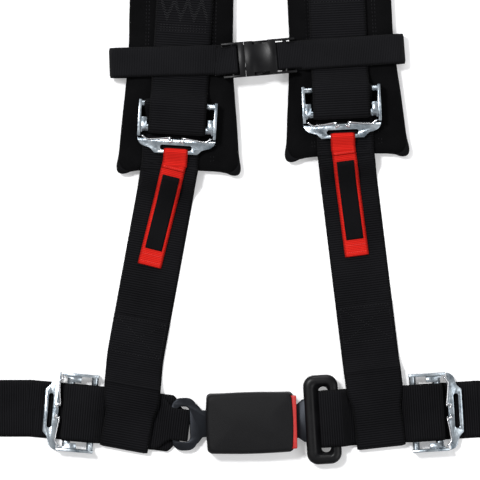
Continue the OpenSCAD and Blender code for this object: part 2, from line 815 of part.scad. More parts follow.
tab_label(0);  // tab_label_left
pull_tab(1);  // pull_tab_right
tab_label(1);  // tab_label_right
shoulder_anchor(0);  // shoulder_anchor_left
lap_anchor(0);  // lap_anchor_left
shoulder_anchor(1);  // shoulder_anchor_right
lap_anchor(1);  // lap_anchor_right
buckle_base();
buckle_cover();
press_button();
buckle_frame();
bail_plate();
bail_rivet();
latch();
latch_pin();
latch_spring();
ejector();
ejector_spring();
buckle_screws();
tongue_plate();
tongue_cover();
sternum_socket();
sternum_plug();
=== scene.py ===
import json
import math

import bmesh
import bpy
from mathutils import Matrix, Vector, noise


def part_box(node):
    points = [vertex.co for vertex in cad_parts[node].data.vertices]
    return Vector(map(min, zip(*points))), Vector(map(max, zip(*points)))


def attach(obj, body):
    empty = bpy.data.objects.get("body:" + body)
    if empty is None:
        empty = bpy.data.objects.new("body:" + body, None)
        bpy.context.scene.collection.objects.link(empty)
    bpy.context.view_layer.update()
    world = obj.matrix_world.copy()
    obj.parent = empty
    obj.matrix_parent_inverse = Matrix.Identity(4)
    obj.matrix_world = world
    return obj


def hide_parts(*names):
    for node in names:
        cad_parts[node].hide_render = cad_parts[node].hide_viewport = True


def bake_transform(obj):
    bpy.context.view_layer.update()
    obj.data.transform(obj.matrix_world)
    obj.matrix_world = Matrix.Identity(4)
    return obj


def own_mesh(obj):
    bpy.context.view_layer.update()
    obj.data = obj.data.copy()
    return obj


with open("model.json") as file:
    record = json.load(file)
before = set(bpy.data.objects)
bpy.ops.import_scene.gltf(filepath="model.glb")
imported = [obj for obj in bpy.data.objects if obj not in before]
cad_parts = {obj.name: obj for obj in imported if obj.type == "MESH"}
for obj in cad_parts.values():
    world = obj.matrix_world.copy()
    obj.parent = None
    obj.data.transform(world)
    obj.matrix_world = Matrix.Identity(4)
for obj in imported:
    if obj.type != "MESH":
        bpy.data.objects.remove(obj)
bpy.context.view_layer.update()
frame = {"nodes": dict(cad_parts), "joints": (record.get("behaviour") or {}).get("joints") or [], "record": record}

# ---- The view --------------------------------------------------------------------------
# The harness lies flat and is seen from straight above with a long lens. The frame is
# centred between the pads and the buckle and takes in the middle of the lap belt.
MM = 0.001


def mm(*values):
    """A place or a size that is given in millimetres."""
    return tuple(value * MM for value in values)


belt_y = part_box("buckle_cover")[0][1] + 37 * MM
view_width = 428.6 * MM
view_height = 3.0
view_centre = Vector((-9.4 * MM, belt_y + 153 * MM, 0))

camera_data = bpy.data.cameras.new("camera")
camera_data.sensor_width = 36
camera_data.lens = 36 * view_height / view_width
camera_data.clip_end = 20
camera = bpy.data.objects.new("camera", camera_data)
camera.location = view_centre + Vector((0, 0, view_height))
bpy.context.collection.objects.link(camera)
bpy.context.scene.camera = camera


# ---- Floor and light -------------------------------------------------------------------
# A white sweep under the harness, a large soft lamp from the upper left that throws the
# faint shadow to the lower right, and a pale world that fills in the rest.
def math_method(operation, swapped=False):
    """An operator of Socket, which adds a Math node for the socket and another value."""
    return lambda self, other: self.math(
        operation, *((other, self) if swapped else (self, other)))


class Socket:
    """A shader output that takes part in arithmetic: each operation adds a Math node."""

    def __init__(self, tree, out):
        self.tree = tree
        self.out = out

    def math(self, operation, *values):
        return self.node("ShaderNodeMath", {"operation": operation}, *values)

    def node(self, kind, settings=None, *values, out=0, **named):
        return add_node(self.tree, kind, settings, *values, out=out, **named)

    __add__ = __radd__ = math_method("ADD")
    __mul__ = __rmul__ = math_method("MULTIPLY")
    __sub__ = math_method("SUBTRACT")
    __rsub__ = math_method("SUBTRACT", swapped=True)
    __truediv__ = math_method("DIVIDE")
    __pow__ = math_method("POWER")

    def clamp(self, lowest=0.0, highest=1.0):
        return self.math("MAXIMUM", self.math("MINIMUM", self, highest), lowest)

    def wave(self):
        """0 to 1, once round for each whole unit."""
        return 0.5 + 0.5 * self.math("SINE", self * math.tau)


def add_node(tree, kind, settings=None, *values, out=0, **named):
    """A node of any kind: its settings first, then the values or links of its sockets."""
    node = tree.nodes.new(kind)
    for key, value in (settings or {}).items():
        setattr(node, key, value)
    for socket, value in zip(node.inputs, values):
        feed(tree, socket, value)
    for key, value in named.items():
        feed(tree, node.inputs[key.replace("_", " ")], value)
    return Socket(tree, node.outputs[out])


def feed(tree, socket, value):
    """Links a Socket to an input, or puts a constant or a colour straight on it."""
    if isinstance(value, Socket):
        tree.links.new(value.out, socket)
    else:
        socket.default_value = (*value, 1) if socket.type == "RGBA" else value


class Finish:
    """A material on one Principled shader, with its texture coordinates at hand."""

    def __init__(self, name, **constants):
        self.material = bpy.data.materials.new(name)
        self.material.use_nodes = True
        self.tree = self.material.node_tree
        self.shader = self.tree.nodes["Principled BSDF"]
        for key, value in constants.items():
            self.set(key, value)

    def set(self, key, value):
        feed(self.tree, self.shader.inputs[key.replace("_", " ")], value)

    def node(self, kind, settings=None, *values, out=0, **named):
        return add_node(self.tree, kind, settings, *values, out=out, **named)

    def axes(self, source="UV"):
        """Three sockets: x, y and z of the UV map, or of the place in metres."""
        place = self.place(source)
        parts = self.node("ShaderNodeSeparateXYZ", None, place).out.node
        return [Socket(self.tree, parts.outputs[k]) for k in range(3)]

    def place(self, source="Object"):
        return self.node("ShaderNodeTexCoord", None, out=source)

    def noise(self, scale, detail=3.0, place=None, roughness=0.6):
        where = place or self.place()
        return self.node(
            "ShaderNodeTexNoise", None, Vector=where, Scale=scale, Detail=detail, Roughness=roughness
        )

    def mix(self, amount, one, two):
        """A colour between two colours."""
        mixed = self.tree.nodes.new("ShaderNodeMix")
        mixed.data_type = "RGBA"
        for index, value in ((0, amount), (6, one), (7, two)):
            feed(self.tree, mixed.inputs[index], value)
        return Socket(self.tree, mixed.outputs[2])

    def tint(self, amount, one, two):
        """The base colour, between two colours."""
        self.set("Base_Color", self.mix(amount, one, two))

    def bump(self, height, distance):
        self.set("Normal", self.node(
            "ShaderNodeBump", None, Height=height, Distance=distance, Strength=1.0
        ))
        return self.material

    def surface(self, tone, dark, light, rough, height, distance):
        """A base colour from dark to light, a roughness and a fine relief."""
        self.tint(tone, dark, light)
        self.set("Roughness", rough.clamp())
        return self.bump(height, distance)


def lamp(name, offset, size, power):
    """A round soft lamp, placed from the middle of the view and aimed at it."""
    data = bpy.data.lights.new(name, "AREA")
    data.shape = "DISK"
    data.size = size
    data.energy = power
    obj = bpy.data.objects.new(name, data)
    obj.location = view_centre + Vector(offset)
    obj.rotation_euler = (-Vector(offset)).to_track_quat("-Z", "Y").to_euler()
    bpy.context.collection.objects.link(obj)


lamp("key_lamp", (-0.9, 0.8, 2.2), 0.42, 46)
lamp("fill_lamp", (1.3, -0.6, 1.4), 1.2, 10)
lamp("rim_lamp", (0.1, 1.9, 0.9), 0.8, 14)


def board(name, place, size, finish):
    """A flat square face that belongs to the stage and not to the harness."""
    mesh = bpy.data.meshes.new(name)
    square = bmesh.new()
    bmesh.ops.create_grid(square, x_segments=2, y_segments=2, size=size)
    square.to_mesh(mesh)
    square.free()
    mesh.materials.append(finish)
    obj = bpy.data.objects.new(name, mesh)
    obj.location = place
    bpy.context.collection.objects.link(obj)
    return obj


def card(name, offset, size):
    """A matt dark board well clear of the harness, seen only as a reflection in the metal."""
    obj = board(name, view_centre + Vector(offset), 0.5, card_finish.material)
    obj.rotation_euler = (-Vector(offset)).to_track_quat("Z", "Y").to_euler()
    obj.scale = (*size, 1)
    obj.visible_camera = False


card_finish = Finish("card_dark", Base_Color=(0.02, 0.022, 0.025), Roughness=0.9)
card("card_right", (1.1, 0.1, 0.35), (1.4, 0.55))
card("card_left", (-1.3, -0.3, 0.3), (1.4, 0.5))
card("card_front", (0.1, -1.3, 0.4), (1.6, 0.6))
card("card_high", (0.55, 0.25, 1.9), (0.45, 0.9))

world = bpy.data.worlds.new("world")
bpy.context.scene.world = world
world.use_nodes = True
world.node_tree.nodes["Background"].inputs["Color"].default_value = (1, 1, 1, 1)
world.node_tree.nodes["Background"].inputs["Strength"].default_value = 0.55
bpy.context.scene.view_settings.view_transform = "Standard"

floor_finish = Finish("floor_white", Base_Color=(0.86, 0.86, 0.87), Roughness=0.7)
glow = floor_finish.node("ShaderNodeLightPath", None, out="Is Camera Ray")
floor_finish.set("Emission_Strength", 0.22)
floor_finish.set("Emission_Color", floor_finish.mix(glow, (0, 0, 0), (1.0, 1.0, 1.0)))
board("floor", (0, 0, -0.0002), 6, floor_finish.material)


# ---- Two-inch webbing ------------------------------------------------------------------
# Woven polyester strap in near-black: ribs of weft run straight across it, finer warp
# yarns run along it, and each edge has a round, tighter selvage.
WEB_W = 50.8 * MM
WEB_T = 1.4 * MM
GAP = 0.3 * MM
RIB = 2.1 * MM


def woven(name, dark, light, rib=RIB, yarn=1.1 * MM, height=0.42 * MM, sheen=0.01):
    """Cloth whose UV map is in metres: x across the strap, y along it."""
    cloth = Finish(name, Roughness=0.9, Sheen_Weight=sheen, Sheen_Roughness=0.5,
                   Specular_IOR_Level=0.04)
    across, along, _ = cloth.axes()
    drift = cloth.noise(35.0, 2.0) - 0.5
    row = (along / rib) + drift * 0.35
    ribs = row.wave() ** 0.8
    warp = ((across / yarn) + row.wave() * 0.5).wave()
    fuzz = cloth.noise(2600.0, 2.0)
    patch = cloth.noise(18.0, 3.0)
    # The ribs and warp yarns also set the colour: painted shade in the hollows between them and a painted
    # highlight on their crests. Fuzz and patch are tone that differs at random.
    tone = (ribs * 0.55 + warp * 0.2 + fuzz * 0.35 + (patch - 0.5) * 0.7).clamp()
    relief = ribs * 0.7 + warp * 0.18 + fuzz * 0.2
    return cloth.surface(tone, dark, light, 0.95 - ribs * 0.18, relief, height)


def eased(t):
    """0 to 1 with soft ends, for t from 0 to 1."""
    t = max(0.0, min(1.0, t))
    return t * t * (3 - 2 * t)


def smooth_path(points, radius, turns=5):
    """The points of a path with each corner rounded to at most this radius."""
    points = [Vector(p) for p in points]
    path = [points[0]]
    for before, corner, after in zip(points, points[1:], points[2:]):
        back = before - corner
        ahead = after - corner
        if back.length < 1e-7 or ahead.length < 1e-7:
            continue
        reach = min(radius, back.length * 0.45, ahead.length * 0.45)
        start = corner + back.normalized() * reach
        end = corner + ahead.normalized() * reach
        for k in range(turns + 1):
            t = k / turns
            path.append(start.lerp(corner, t).lerp(corner.lerp(end, t), t))
    path.append(points[-1])
    return path


def arc(centre, radius, start, end, steps=14):
    return [
        (centre[0] + radius * math.cos(math.radians(start + (end - start) * k / steps)),
         centre[1] + radius * math.sin(math.radians(start + (end - start) * k / steps)))
        for k in range(steps + 1)
    ]


def even_path(path, step):
    """The same path with no two points further apart than step."""
    out = [path[0]]
    for a, b in zip(path, path[1:]):
        parts = max(1, math.ceil((b - a).length / step))
        out += [a.lerp(b, k / parts) for k in range(1, parts + 1)]
    return out


def strap_mesh(shape, path, bend, width, thick, place, columns=14, step=5 * MM, wave=0.0,
               seed=0.0, drift=None):
    """Adds to shape a strap along path, (along, up) in the place's X and Z, with corners
    rounded to at most bend. width may be a function of the share of the path that has gone
    by, and drift of the way along."""
    path = even_path(smooth_path(path, bend), step)
    shape.loops.layers.uv.verify()
    run = 0.0
    total = sum((b - a).length for a, b in zip(path, path[1:]))
    rings = []
    for k, point in enumerate(path):
        ahead = path[min(k + 1, len(path) - 1)]
        behind = path[max(k - 1, 0)]
        heading = (ahead - behind).normalized()
        normal = Vector((-heading[1], heading[0]))
        if k:
            run += (point - path[k - 1]).length
        share = run / total
        half = (width(share) if callable(width) else width) / 2
        ring = []
        for side in (1, -1):
            for c in range(columns + 1):
                t = -1 + 2 * c / columns
                y = t * side * half
                edge = min(1.0, (1 - abs(t)) * half / (thick * 0.7))
                rise = thick / 2 * math.sqrt(max(0.0, 1 - (1 - edge) ** 2))
                if c in (0, columns):
                    if side == -1:
                        continue
                    rise = 0.0
                ripple = wave * noise.noise(Vector((run * 28, y * 30, seed)))
                up = side * rise + ripple
                aside = y + (drift(point[0]) if drift else 0.0)
                spot = place @ Vector((
                    point[0] + normal[0] * up, aside, point[1] + normal[1] * up
                ))
                ring.append((shape.verts.new(spot), y, run))
        rings.append(ring)
    for one, two in zip(rings, rings[1:]):
        cloth_girdle(shape, one, two)
    cloth_face(shape, rings[0])
    cloth_face(shape, rings[-1])


def girdle(shape, one, two):
    """A band of quads between two rings of vertices."""
    for a in range(len(one)):
        b = (a + 1) % len(one)
        shape.faces.new((one[a], one[b], two[b], two[a]))


def cloth_face(shape, corners):
    """A face through (vertex, u, v) corners, with its UV map in metres."""
    uv = shape.loops.layers.uv.verify()
    face = shape.faces.new([corner[0] for corner in corners])
    for loop, corner in zip(face.loops, corners):
        loop[uv].uv = corner[1:]


def cloth_girdle(shape, one, two):
    """A band of quads between two rings of (vertex, u, v) corners."""
    for a in range(len(one)):
        b = (a + 1) % len(one)
        cloth_face(shape, (one[a], one[b], two[b], two[a]))


def shade_smooth(mesh):
    for face in mesh.polygons:
        face.use_smooth = True


def piece(name, shape, finish, smooth=True):
    """A new object from a bmesh, with outward faces and one material."""
    bmesh.ops.recalc_face_normals(shape, faces=shape.faces)
    mesh = bpy.data.meshes.new(name)
    shape.to_mesh(mesh)
    shape.free()
    if smooth:
        shade_smooth(mesh)
    mesh.materials.append(finish)
    obj = bpy.data.objects.new(name, mesh)
    bpy.context.collection.objects.link(obj)
    return obj


def stand_in(obj, slot, body, *nodes):
    """Gives a piece its body, and hides the CAD nodes that it stands for."""
    if nodes:
        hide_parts(*nodes)
    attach(obj, body)


def cloth_sheet(name, shape, cloth, slot, node, **told):
    """A strap or a tab, which stands for its CAD node and hides it."""
    strap = piece(name, shape, cloth)
    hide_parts(node)
    return strap


def bend_at(strap, place, start, end, *bodies):
    """Bakes a strap's placement into its mesh."""
    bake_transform(strap)


def flat_place(origin, heading, height=0.0):
    """A local frame on the plan: X along heading in degrees, Z up."""
    spot = Vector((origin[0], origin[1], height))
    return Matrix.Translation(spot) @ Matrix.Rotation(math.radians(heading), 4, "Z")


joints = {joint["name"]: joint for joint in frame["joints"]}


def hinge_place(name, height):
    """The frame of an adjuster: its fixed bar's middle, X towards the nose."""
    joint = joints[name]
    axis = joint["axis"]
    heading = math.degrees(math.atan2(axis[0], -axis[1]))
    return joint["pos_m"], heading, flat_place(joint["pos_m"], heading, height)


webbing_cloth = woven("webbing_cloth", (0.0005, 0.0005, 0.0007), (0.0088, 0.0088, 0.0102))
thread_finish = Finish("black_thread", Roughness=0.6, Specular_IOR_Level=0.15)
thread_tone = thread_finish.noise(900.0)
thread_finish.tint(thread_tone, (0.004, 0.004, 0.005), (0.015, 0.015, 0.017))
thread_finish.bump(thread_tone, 0.1 * MM)

# Heights of the middles of stacked layers, and of the pads' top face
layer_1 = WEB_T / 2
layer_2 = layer_1 + WEB_T + GAP
sewn = layer_1 + WEB_T + 0.1 * MM
pad_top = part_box("pad_cover_left")[1][2] + GAP
sewn_face = sewn + WEB_T / 2 + 0.12 * MM
tail_face = layer_2 + WEB_T / 2 + 0.12 * MM

# The adjuster's numbers that a strap's route depends on
slide_x = 21 * MM
slide_z = 8.4 * MM
wrap_r = 4.5 * MM
fixed_z = 4.7 * MM
fixed_wrap_r = 4 * MM
bend_x = 56 * MM


def run_of_stitches(shape, place, points, height, pitch=2.6 * MM, size=0.34 * MM):
    """Sewing thread: one small rounded bead for each stitch along the points."""
    for a, b in zip(points, points[1:]):
        a, b = Vector(a), Vector(b)
        count = max(1, round((b - a).length / pitch))
        for k in range(count):
            start = a.lerp(b, (k + 0.12) / count)
            end = a.lerp(b, (k + 0.88) / count)
            middle = (start + end) / 2
            length = (end - start).length
            turn = math.atan2(end[1] - start[1], end[0] - start[0])
            spot = Matrix.Translation((middle[0], middle[1], height))
            flat = Matrix.Diagonal((length / 2, size, size * 0.7, 1))
            bmesh.ops.create_icosphere(
                shape, subdivisions=1, radius=1,
                matrix=place @ spot @ Matrix.Rotation(turn, 4, "Z") @ flat
            )


def box_stitch(shape, place, start, end, half, height):
    """A rectangle with a cross in it, as a load-bearing joint is sewn."""
    corners = [(start, -half), (end, -half), (end, half), (start, half)]
    run_of_stitches(shape, place, corners + corners[:1], height)
    run_of_stitches(shape, place, [corners[0], corners[2]], height)
    run_of_stitches(shape, place, [corners[1], corners[3]], height)


def slide_wrap(tail, lift):
    """Tail under the strap, over the fixed bar's loop, round the slide bar and back."""
    return [
        (-tail, layer_1 + lift), (-10.5 * MM, layer_1 + lift), mm(-2.5, 10.4),
        mm(3, 10.4), mm(12, 5.2), (slide_x - 3 * MM, slide_z - wrap_r),
        *arc((slide_x, slide_z), wrap_r, -90, 90),
        (-3 * MM, slide_z + wrap_r), (-13 * MM, layer_2 + lift),
    ]


def bar_loop(shape, place, drift=None):
    """The end of a strap that is looped round an adjuster's fixed bar and sewn down."""
    path = [(18 * MM, sewn), (12.5 * MM, sewn), mm(8, 3.8)]
    path += arc((0, fixed_z), fixed_wrap_r, 60, 270) + [(bend_x + 3 * MM, layer_1)]
    strap_mesh(shape, path, 3 * MM, WEB_W, WEB_T, place, step=3 * MM, drift=drift)


def anchor_eye(side):
    """An eye round an anchor plate's inner bar, which the strap reaches from -side."""
    eye_r = 4.1 * MM
    turn = arc(mm(0, 4.8), eye_r, -90, 90 if side > 0 else -270)
    return turn + [(-side * 9 * MM, 4.2 * MM), (-side * 13 * MM, sewn), (-side * 42 * MM, sewn)]


def straight_length(path):
    return sum((Vector(b) - Vector(a)).length for a, b in zip(path, path[1:]))


for side, name in enumerate(("left", "right")):
    # Shoulder strap: anchor, over the pad, over the top of the adjuster and back as a tail
    origin, heading, place = hinge_place(f"shoulder_tilt_{name}", pad_top)
    place = flat_place(origin, heading, pad_top)
    anchor = joints[f"shoulder_anchor_swing_{name}"]["pos_m"]
    run = (Vector(anchor[:2]) - Vector(origin[:2])).length
    pad_end = (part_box(f"pad_cover_{name}")[1][1] - origin[1]) + 4 * MM
    down = layer_1 - pad_top
    path = slide_wrap(100 * MM, 0) + [(-103 * MM, layer_2), (-109 * MM, layer_1)]
    path += [(-pad_end, layer_1), (-pad_end - 16 * MM, down), (-run, down)]
    shape = bmesh.new()
    strap_mesh(shape, path, 5 * MM, WEB_W, WEB_T, place, wave=0.12 * MM, seed=side * 9.0)
    eye = flat_place(anchor, heading, 0)
    strap_mesh(shape, [(6 * MM, layer_1)] + anchor_eye(-1), 3 * MM, WEB_W, WEB_T * 0.98,
               eye, step=2.5 * MM)
    seams = bmesh.new()
    box_stitch(seams, eye, 15 * MM, 40 * MM, 21 * MM, sewn_face)
    for far in (-97, -95, -93, -91) if side == 0 else ():
        zig = [((far + (k % 2) * 17) * MM, (-21 + k * 6) * MM) for k in range(8)]
        run_of_stitches(seams, place, zig, tail_face, size=0.5 * MM)
    for far in (-71, -68.5, -66) if side == 0 else (-81, -78.5):
        across = [(far * MM, -21 * MM), (far * MM, 21 * MM)]
        run_of_stitches(seams, place, across, tail_face, size=0.45 * MM)
    stand_in(piece(f"shoulder_stitches_{name}", seams, thread_finish.material), "webbing", "root")
    strap = cloth_sheet(
        f"shoulder_webbing_{name}", shape, webbing_cloth, "webbing", f"shoulder_strap_{name}",
        flat=(WEB_W, straight_length(path) + 60 * MM), held="laid",
        rests_on=[f"pad_cover_{name}"])
    bend_at(strap, place, -12 * MM, 10 * MM, "root", f"shoulder_adjuster_{name}")

# ---- Front straps ----------------------------------------------------------------------
# The same webbing, sewn into a loop round each shoulder adjuster's fixed bar. The lower
# end passes behind the lap belt, comes back over it and is sewn down as far as the hem.
front_turn = (-10.4, 7)
loop_down = 40 * MM
loop_top = 9 * MM
hem_up = mm(77, 89)
for side, name in enumerate(("left", "right")):
    origin, heading, _ = hinge_place(f"shoulder_tilt_{name}", 0)
    upper = flat_place(origin, heading, pad_top)
    foot = upper @ Vector((bend_x, 0, 0))
    turn = math.radians(front_turn[side])
    low_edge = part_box(f"front_strap_{name}")[0][1] + (5.5, 7.0)[side] * MM
    lower = flat_place(foot, -90 + front_turn[side])
    run = (foot[1] - low_edge - 21 * MM * abs(math.sin(turn))) / math.cos(turn)
    hem = run - (hem_up[side] + loop_down) / math.cos(turn)
    loop_r = (loop_top - layer_1) / 2
    end = run - loop_r - WEB_T / 2
    shape = bmesh.new()

    def aside(x):
        """The strap hangs a little to one side, and comes back towards the loop's middle."""
        return (-4.6 + 4.6 * eased((x - run + 90 * MM) / (60 * MM)), 2.2)[side] * MM

    bar_loop(shape, upper, lambda x: (-4.6, 2.2)[side] * MM)
    sheet_path = [(-3 * MM, pad_top + layer_1), (9 * MM, pad_top + layer_1), (24 * MM, layer_1)]
    sheet_path += [(end - 60 * MM, layer_1)]
    turn_path = [(end - 64 * MM, layer_1)] + arc((end, layer_1 + loop_r), loop_r, -90, 90)
    fold = run - (56, 68)[side] * MM
    turn_path += [(fold, loop_top), (fold - 2 * MM, loop_top + 0.9 * MM)]
    turn_path += [(fold - 5 * MM, loop_top - 2.6 * MM), (fold - 13 * MM, sewn), (hem, sewn)]
    strap_mesh(shape, sheet_path, 6 * MM, WEB_W, WEB_T, lower,
               wave=0.14 * MM, seed=20 + side, drift=aside)

    def gathered(share):
        """Narrower where it goes round the belt, full width again at the hem."""
        narrow = max(0.0, min(1.0, (0.62 - share) / 0.10, (share + 0.05) / 0.08))
        return WEB_W - 7.5 * MM * narrow * narrow * (3 - 2 * narrow)

    strap_mesh(shape, turn_path, 2.4 * MM, gathered, WEB_T, lower,
               step=2 * MM, wave=0.5 * MM, seed=30 + side, drift=aside)
    strap = cloth_sheet(
        f"front_webbing_{name}", shape, webbing_cloth, "webbing", f"front_strap_{name}",
        flat=(WEB_W, straight_length(sheet_path) + straight_length(turn_path) + 70 * MM),
        held="laid", rests_on=[f"pad_cover_{name}"])
    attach(strap, "root")

    shape = bmesh.new()
    seam_place = lower @ Matrix.Translation((0, aside(hem), 0))
    box_stitch(shape, seam_place, hem + 3 * MM, hem + 34 * MM, 22 * MM, sewn_face)
    stand_in(piece(f"front_stitches_{name}", shape, thread_finish.material), "webbing", "root")

# ---- Lap straps ------------------------------------------------------------------------
# Outer lengths run from the adjusters' fixed bars out to the anchor plates. Inner lengths
# wrap the slide bars and end in the bail's slot on one side, the tongue's on the other.
lift = WEB_T + GAP
under_main = layer_2 + lift - WEB_T - 0.1 * MM
for side, name in enumerate(("left", "right")):
    origin, heading, _ = hinge_place(f"lap_tilt_{name}", 0)
    place = flat_place(origin, heading)
    foot = place @ Vector((bend_x, 0, 0))
    anchor = joints[f"lap_anchor_swing_{name}"]["pos_m"]
    run = abs(anchor[0] - foot[0])
    outer = flat_place(foot, 180 if side == 0 else 0)
    eye = flat_place(anchor, 180 if side == 0 else 0)
    shape = bmesh.new()
    bar_loop(shape, place)
    strap_mesh(shape, [(-4 * MM, layer_1), (run, layer_1)], 0, WEB_W, WEB_T, outer,
               wave=0.12 * MM, seed=40 + side)
    strap_mesh(shape, [(-6 * MM, layer_1)] + anchor_eye(1), 3 * MM, WEB_W, WEB_T * 0.98,
               eye, step=2.5 * MM)
    seams = bmesh.new()
    box_stitch(seams, eye, -40 * MM, -15 * MM, 21 * MM, sewn_face)
    stand_in(piece(f"lap_stitches_{name}", seams, thread_finish.material), "webbing", "root")
    strap = cloth_sheet(
        f"lap_webbing_outer_{name}", shape, webbing_cloth, "webbing", f"lap_strap_outer_{name}",
        flat=(WEB_W, run + bend_x + 100 * MM), held="laid")
    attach(strap, "root")

    path = slide_wrap(44 * MM, lift)
    shape = bmesh.new()
    if side == 0:
        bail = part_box("bail_plate")
        bar = Vector((bail[0][0] + 2.3 * MM, (bail[0][1] + bail[1][1]) / 2 + 0.2 * MM, 0))
        bail_z = (bail[0][2] + bail[1][2]) / 2
        start = Vector((origin[0], origin[1], 0))
        reach = (bar - start).length
        aim = math.degrees(math.atan2(start[1] - bar[1], start[0] - bar[0]))
        path = path + [(-30 * MM, layer_2 + lift)]
        strap_mesh(shape, path, 4 * MM, WEB_W, WEB_T, place, step=3 * MM, wave=0.1 * MM, seed=50)
        belt = flat_place(bar, aim)
        over_path = [(reach - 26 * MM, layer_2 + lift), (14 * MM, layer_2 + lift)]
        over_path += [(5 * MM, bail_z + 2.2 * MM), (-4 * MM, bail_z + 2.6 * MM)]
        over_path += [(-11.2 * MM, bail_z + 1.9 * MM), (-13.5 * MM, bail_z - 0.4 * MM)]
        under_path = [(-13.5 * MM, bail_z), mm(-11.6, 4), mm(-4, 3.5)]
        under_path += [mm(4, 3.3), (14 * MM, under_main), (30 * MM, under_main)]

        def drawn_in(share):
            """Full width on the belt, drawn in to pass through the bail's slot."""
            return WEB_W - 22.5 * MM * eased((share - 0.5) / 0.26)

        def let_out(share):
            """Behind the bail it spreads to full width again."""
            return WEB_W - 22.5 * MM * eased((0.42 - share) / 0.26)

        strap_mesh(shape, over_path, 4 * MM, drawn_in, WEB_T * 0.97, belt,
                   step=1.6 * MM, wave=0.7 * MM, seed=51)
        strap_mesh(shape, under_path, 3 * MM, let_out, WEB_T * 0.95, belt,
                   step=1.6 * MM, wave=0.3 * MM, seed=53)
        cut_length = sum(straight_length(part) for part in (path, over_path, under_path))
    else:
        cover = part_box("tongue_cover")
        over = cover[1][2] + GAP + layer_1
        under = cover[0][2] - GAP - layer_1
        path_2 = [(-42, layer_2 + lift), (-58, layer_2 + lift), (-65, over - 0.5 * MM)]
        path_2 += [(-68, over), (-79, over), (-83, over - 0.6 * MM), (-85.4, over - 3 * MM)]
        path_2 += [(-85.4, under + 2.5 * MM), (-80, under), (-68, under), (-60, under_main)]
        path_2 = [(x * MM, z) for x, z in path_2 + [(-50, under_main)]]
        path = path + [(-42.2 * MM, layer_2 + lift)]
        strap_mesh(shape, path, 3.5 * MM, WEB_W, WEB_T, place, step=2.5 * MM,
                   wave=0.12 * MM, seed=52)
        cut_length = straight_length(path)
        eye_shape = bmesh.new()
        strap_mesh(eye_shape, path_2, 3.5 * MM, WEB_W, WEB_T, place,
                   step=1.5 * MM, wave=0.12 * MM, seed=54)
        eye_end = cloth_sheet(
            "lap_webbing_eye_right", eye_shape, webbing_cloth, "webbing",
            "lap_strap_inner_right", flat=(WEB_W, straight_length(path_2)), held="folded")
        bend_at(eye_end, place, -44 * MM, -61 * MM, "root", "tongue")
    strap = cloth_sheet(
        f"lap_webbing_inner_{name}", shape, webbing_cloth, "webbing", f"lap_strap_inner_{name}",
        flat=(WEB_W, cut_length), held="folded")
    bend_at(strap, place, -12 * MM, 10 * MM, "root", f"lap_adjuster_{name}")

# ---- Sternum straps --------------------------------------------------------------------
# One-inch webbing, a little greyer and finer. Each length is a loop that slides on its
# pad, and ends in an eye round a bar of the side-release buckle.
CHEST_W = 26.5 * MM
CHEST_T = 1.2 * MM
chest_cloth = woven("chest_cloth", (0.0018, 0.0018, 0.0022), (0.0105, 0.0105, 0.012),
                    rib=1.5 * MM, yarn=0.9 * MM, height=0.22 * MM)
chest_low = pad_top + CHEST_T / 2
chest_high = pad_top + 2 * (WEB_T + GAP) + CHEST_T / 2 + 0.6 * MM
chest_under = chest_high - CHEST_T - 0.1 * MM
clip_axis = joints["sternum_release"]["axis"]
clip_turn = math.degrees(math.atan2(-clip_axis[1], -clip_axis[0]))
plug_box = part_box("sternum_plug")
socket_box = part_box("sternum_socket")
clip_half = 32.5 * MM
clip_low = socket_box[0][2]
clip_mid = Vector((
    (plug_box[0][0] + socket_box[1][0]) / 2, (plug_box[0][1] + socket_box[1][1]) / 2, 0
))
clip_place = flat_place(clip_mid, clip_turn)
bar_high = clip_low + 4.5 * MM
eye_r = 2.7 * MM
for side, name in enumerate(("left", "right")):
    low_corner, high_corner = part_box(f"sternum_strap_{name}")
    turn = (1.5, 3.9)[side]
    out_x = low_corner[0] if side == 0 else high_corner[0]
    out_y = (low_corner[1] + 0.6 * CHEST_W) if side == 0 else (high_corner[1] - 0.55 * CHEST_W)
    heading = turn if side == 0 else turn + 180
    place = flat_place((out_x, out_y), heading)
    outer_r = (chest_high - CHEST_T / 2) / 2
    inner_r = (chest_low - CHEST_T / 2) / 2
    clip_bar = clip_place @ Vector(((-1 if side == 0 else 1) * (clip_half - 9 * MM), 0, 0))
    bar = (clip_bar - Vector((out_x, out_y, 0))).length
    inner = bar - 11.5 * MM + 23 * MM - (1 if side == 0 else 8) * MM
    path = [(bar - 14 * MM, chest_high)]
    path += arc((outer_r + CHEST_T / 2, chest_high - outer_r), outer_r, 90, 270)
    path += arc((inner - inner_r, CHEST_T / 2 + inner_r), inner_r, -90, 90)
    path += [(bar - 11.5 * MM, chest_low), (bar - 16.5 * MM, chest_under)]
    path += [(bar - 19 * MM, chest_under)]
    shape = bmesh.new()
    strap_mesh(shape, path, 3 * MM, CHEST_W, CHEST_T, place, columns=10,
               step=3 * MM, wave=0.25 * MM, seed=60 + side)
    eye = flat_place(clip_bar, clip_turn if side == 0 else clip_turn + 180)
    reach = (1.4, 5.2)[side] * MM
    eye_path = [(-7 * MM, bar_high - eye_r), (-2 * MM, bar_high - eye_r)]
    eye_path += arc((reach, bar_high), eye_r, -90, 90)
    eye_path += [(-13 * MM, chest_high), (-17 * MM, chest_high)]
    strap_mesh(shape, eye_path, 3 * MM, 25 * MM, CHEST_T * 0.97, eye, columns=10, step=1.5 * MM)

    seam_face = chest_high + CHEST_T / 2 + 0.12 * MM
    seam = [(bar - 24 * MM, -10 * MM), (bar - 24 * MM, 10 * MM)]
    run_of_stitches(shape, place, seam, seam_face, pitch=2.2 * MM, size=0.26 * MM)
    strap = cloth_sheet(
        f"sternum_webbing_{name}", shape, chest_cloth, "sternum_webbing",
        f"sternum_strap_{name}", flat=(CHEST_W, straight_length(path) + straight_length(eye_path)),
        held="folded", rests_on=[f"pad_cover_{name}"])
    if side == 0:
        bend_at(strap, place, bar - 40 * MM, bar - 15 * MM, "root", "sternum_plug")
    else:
        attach(strap, "root")

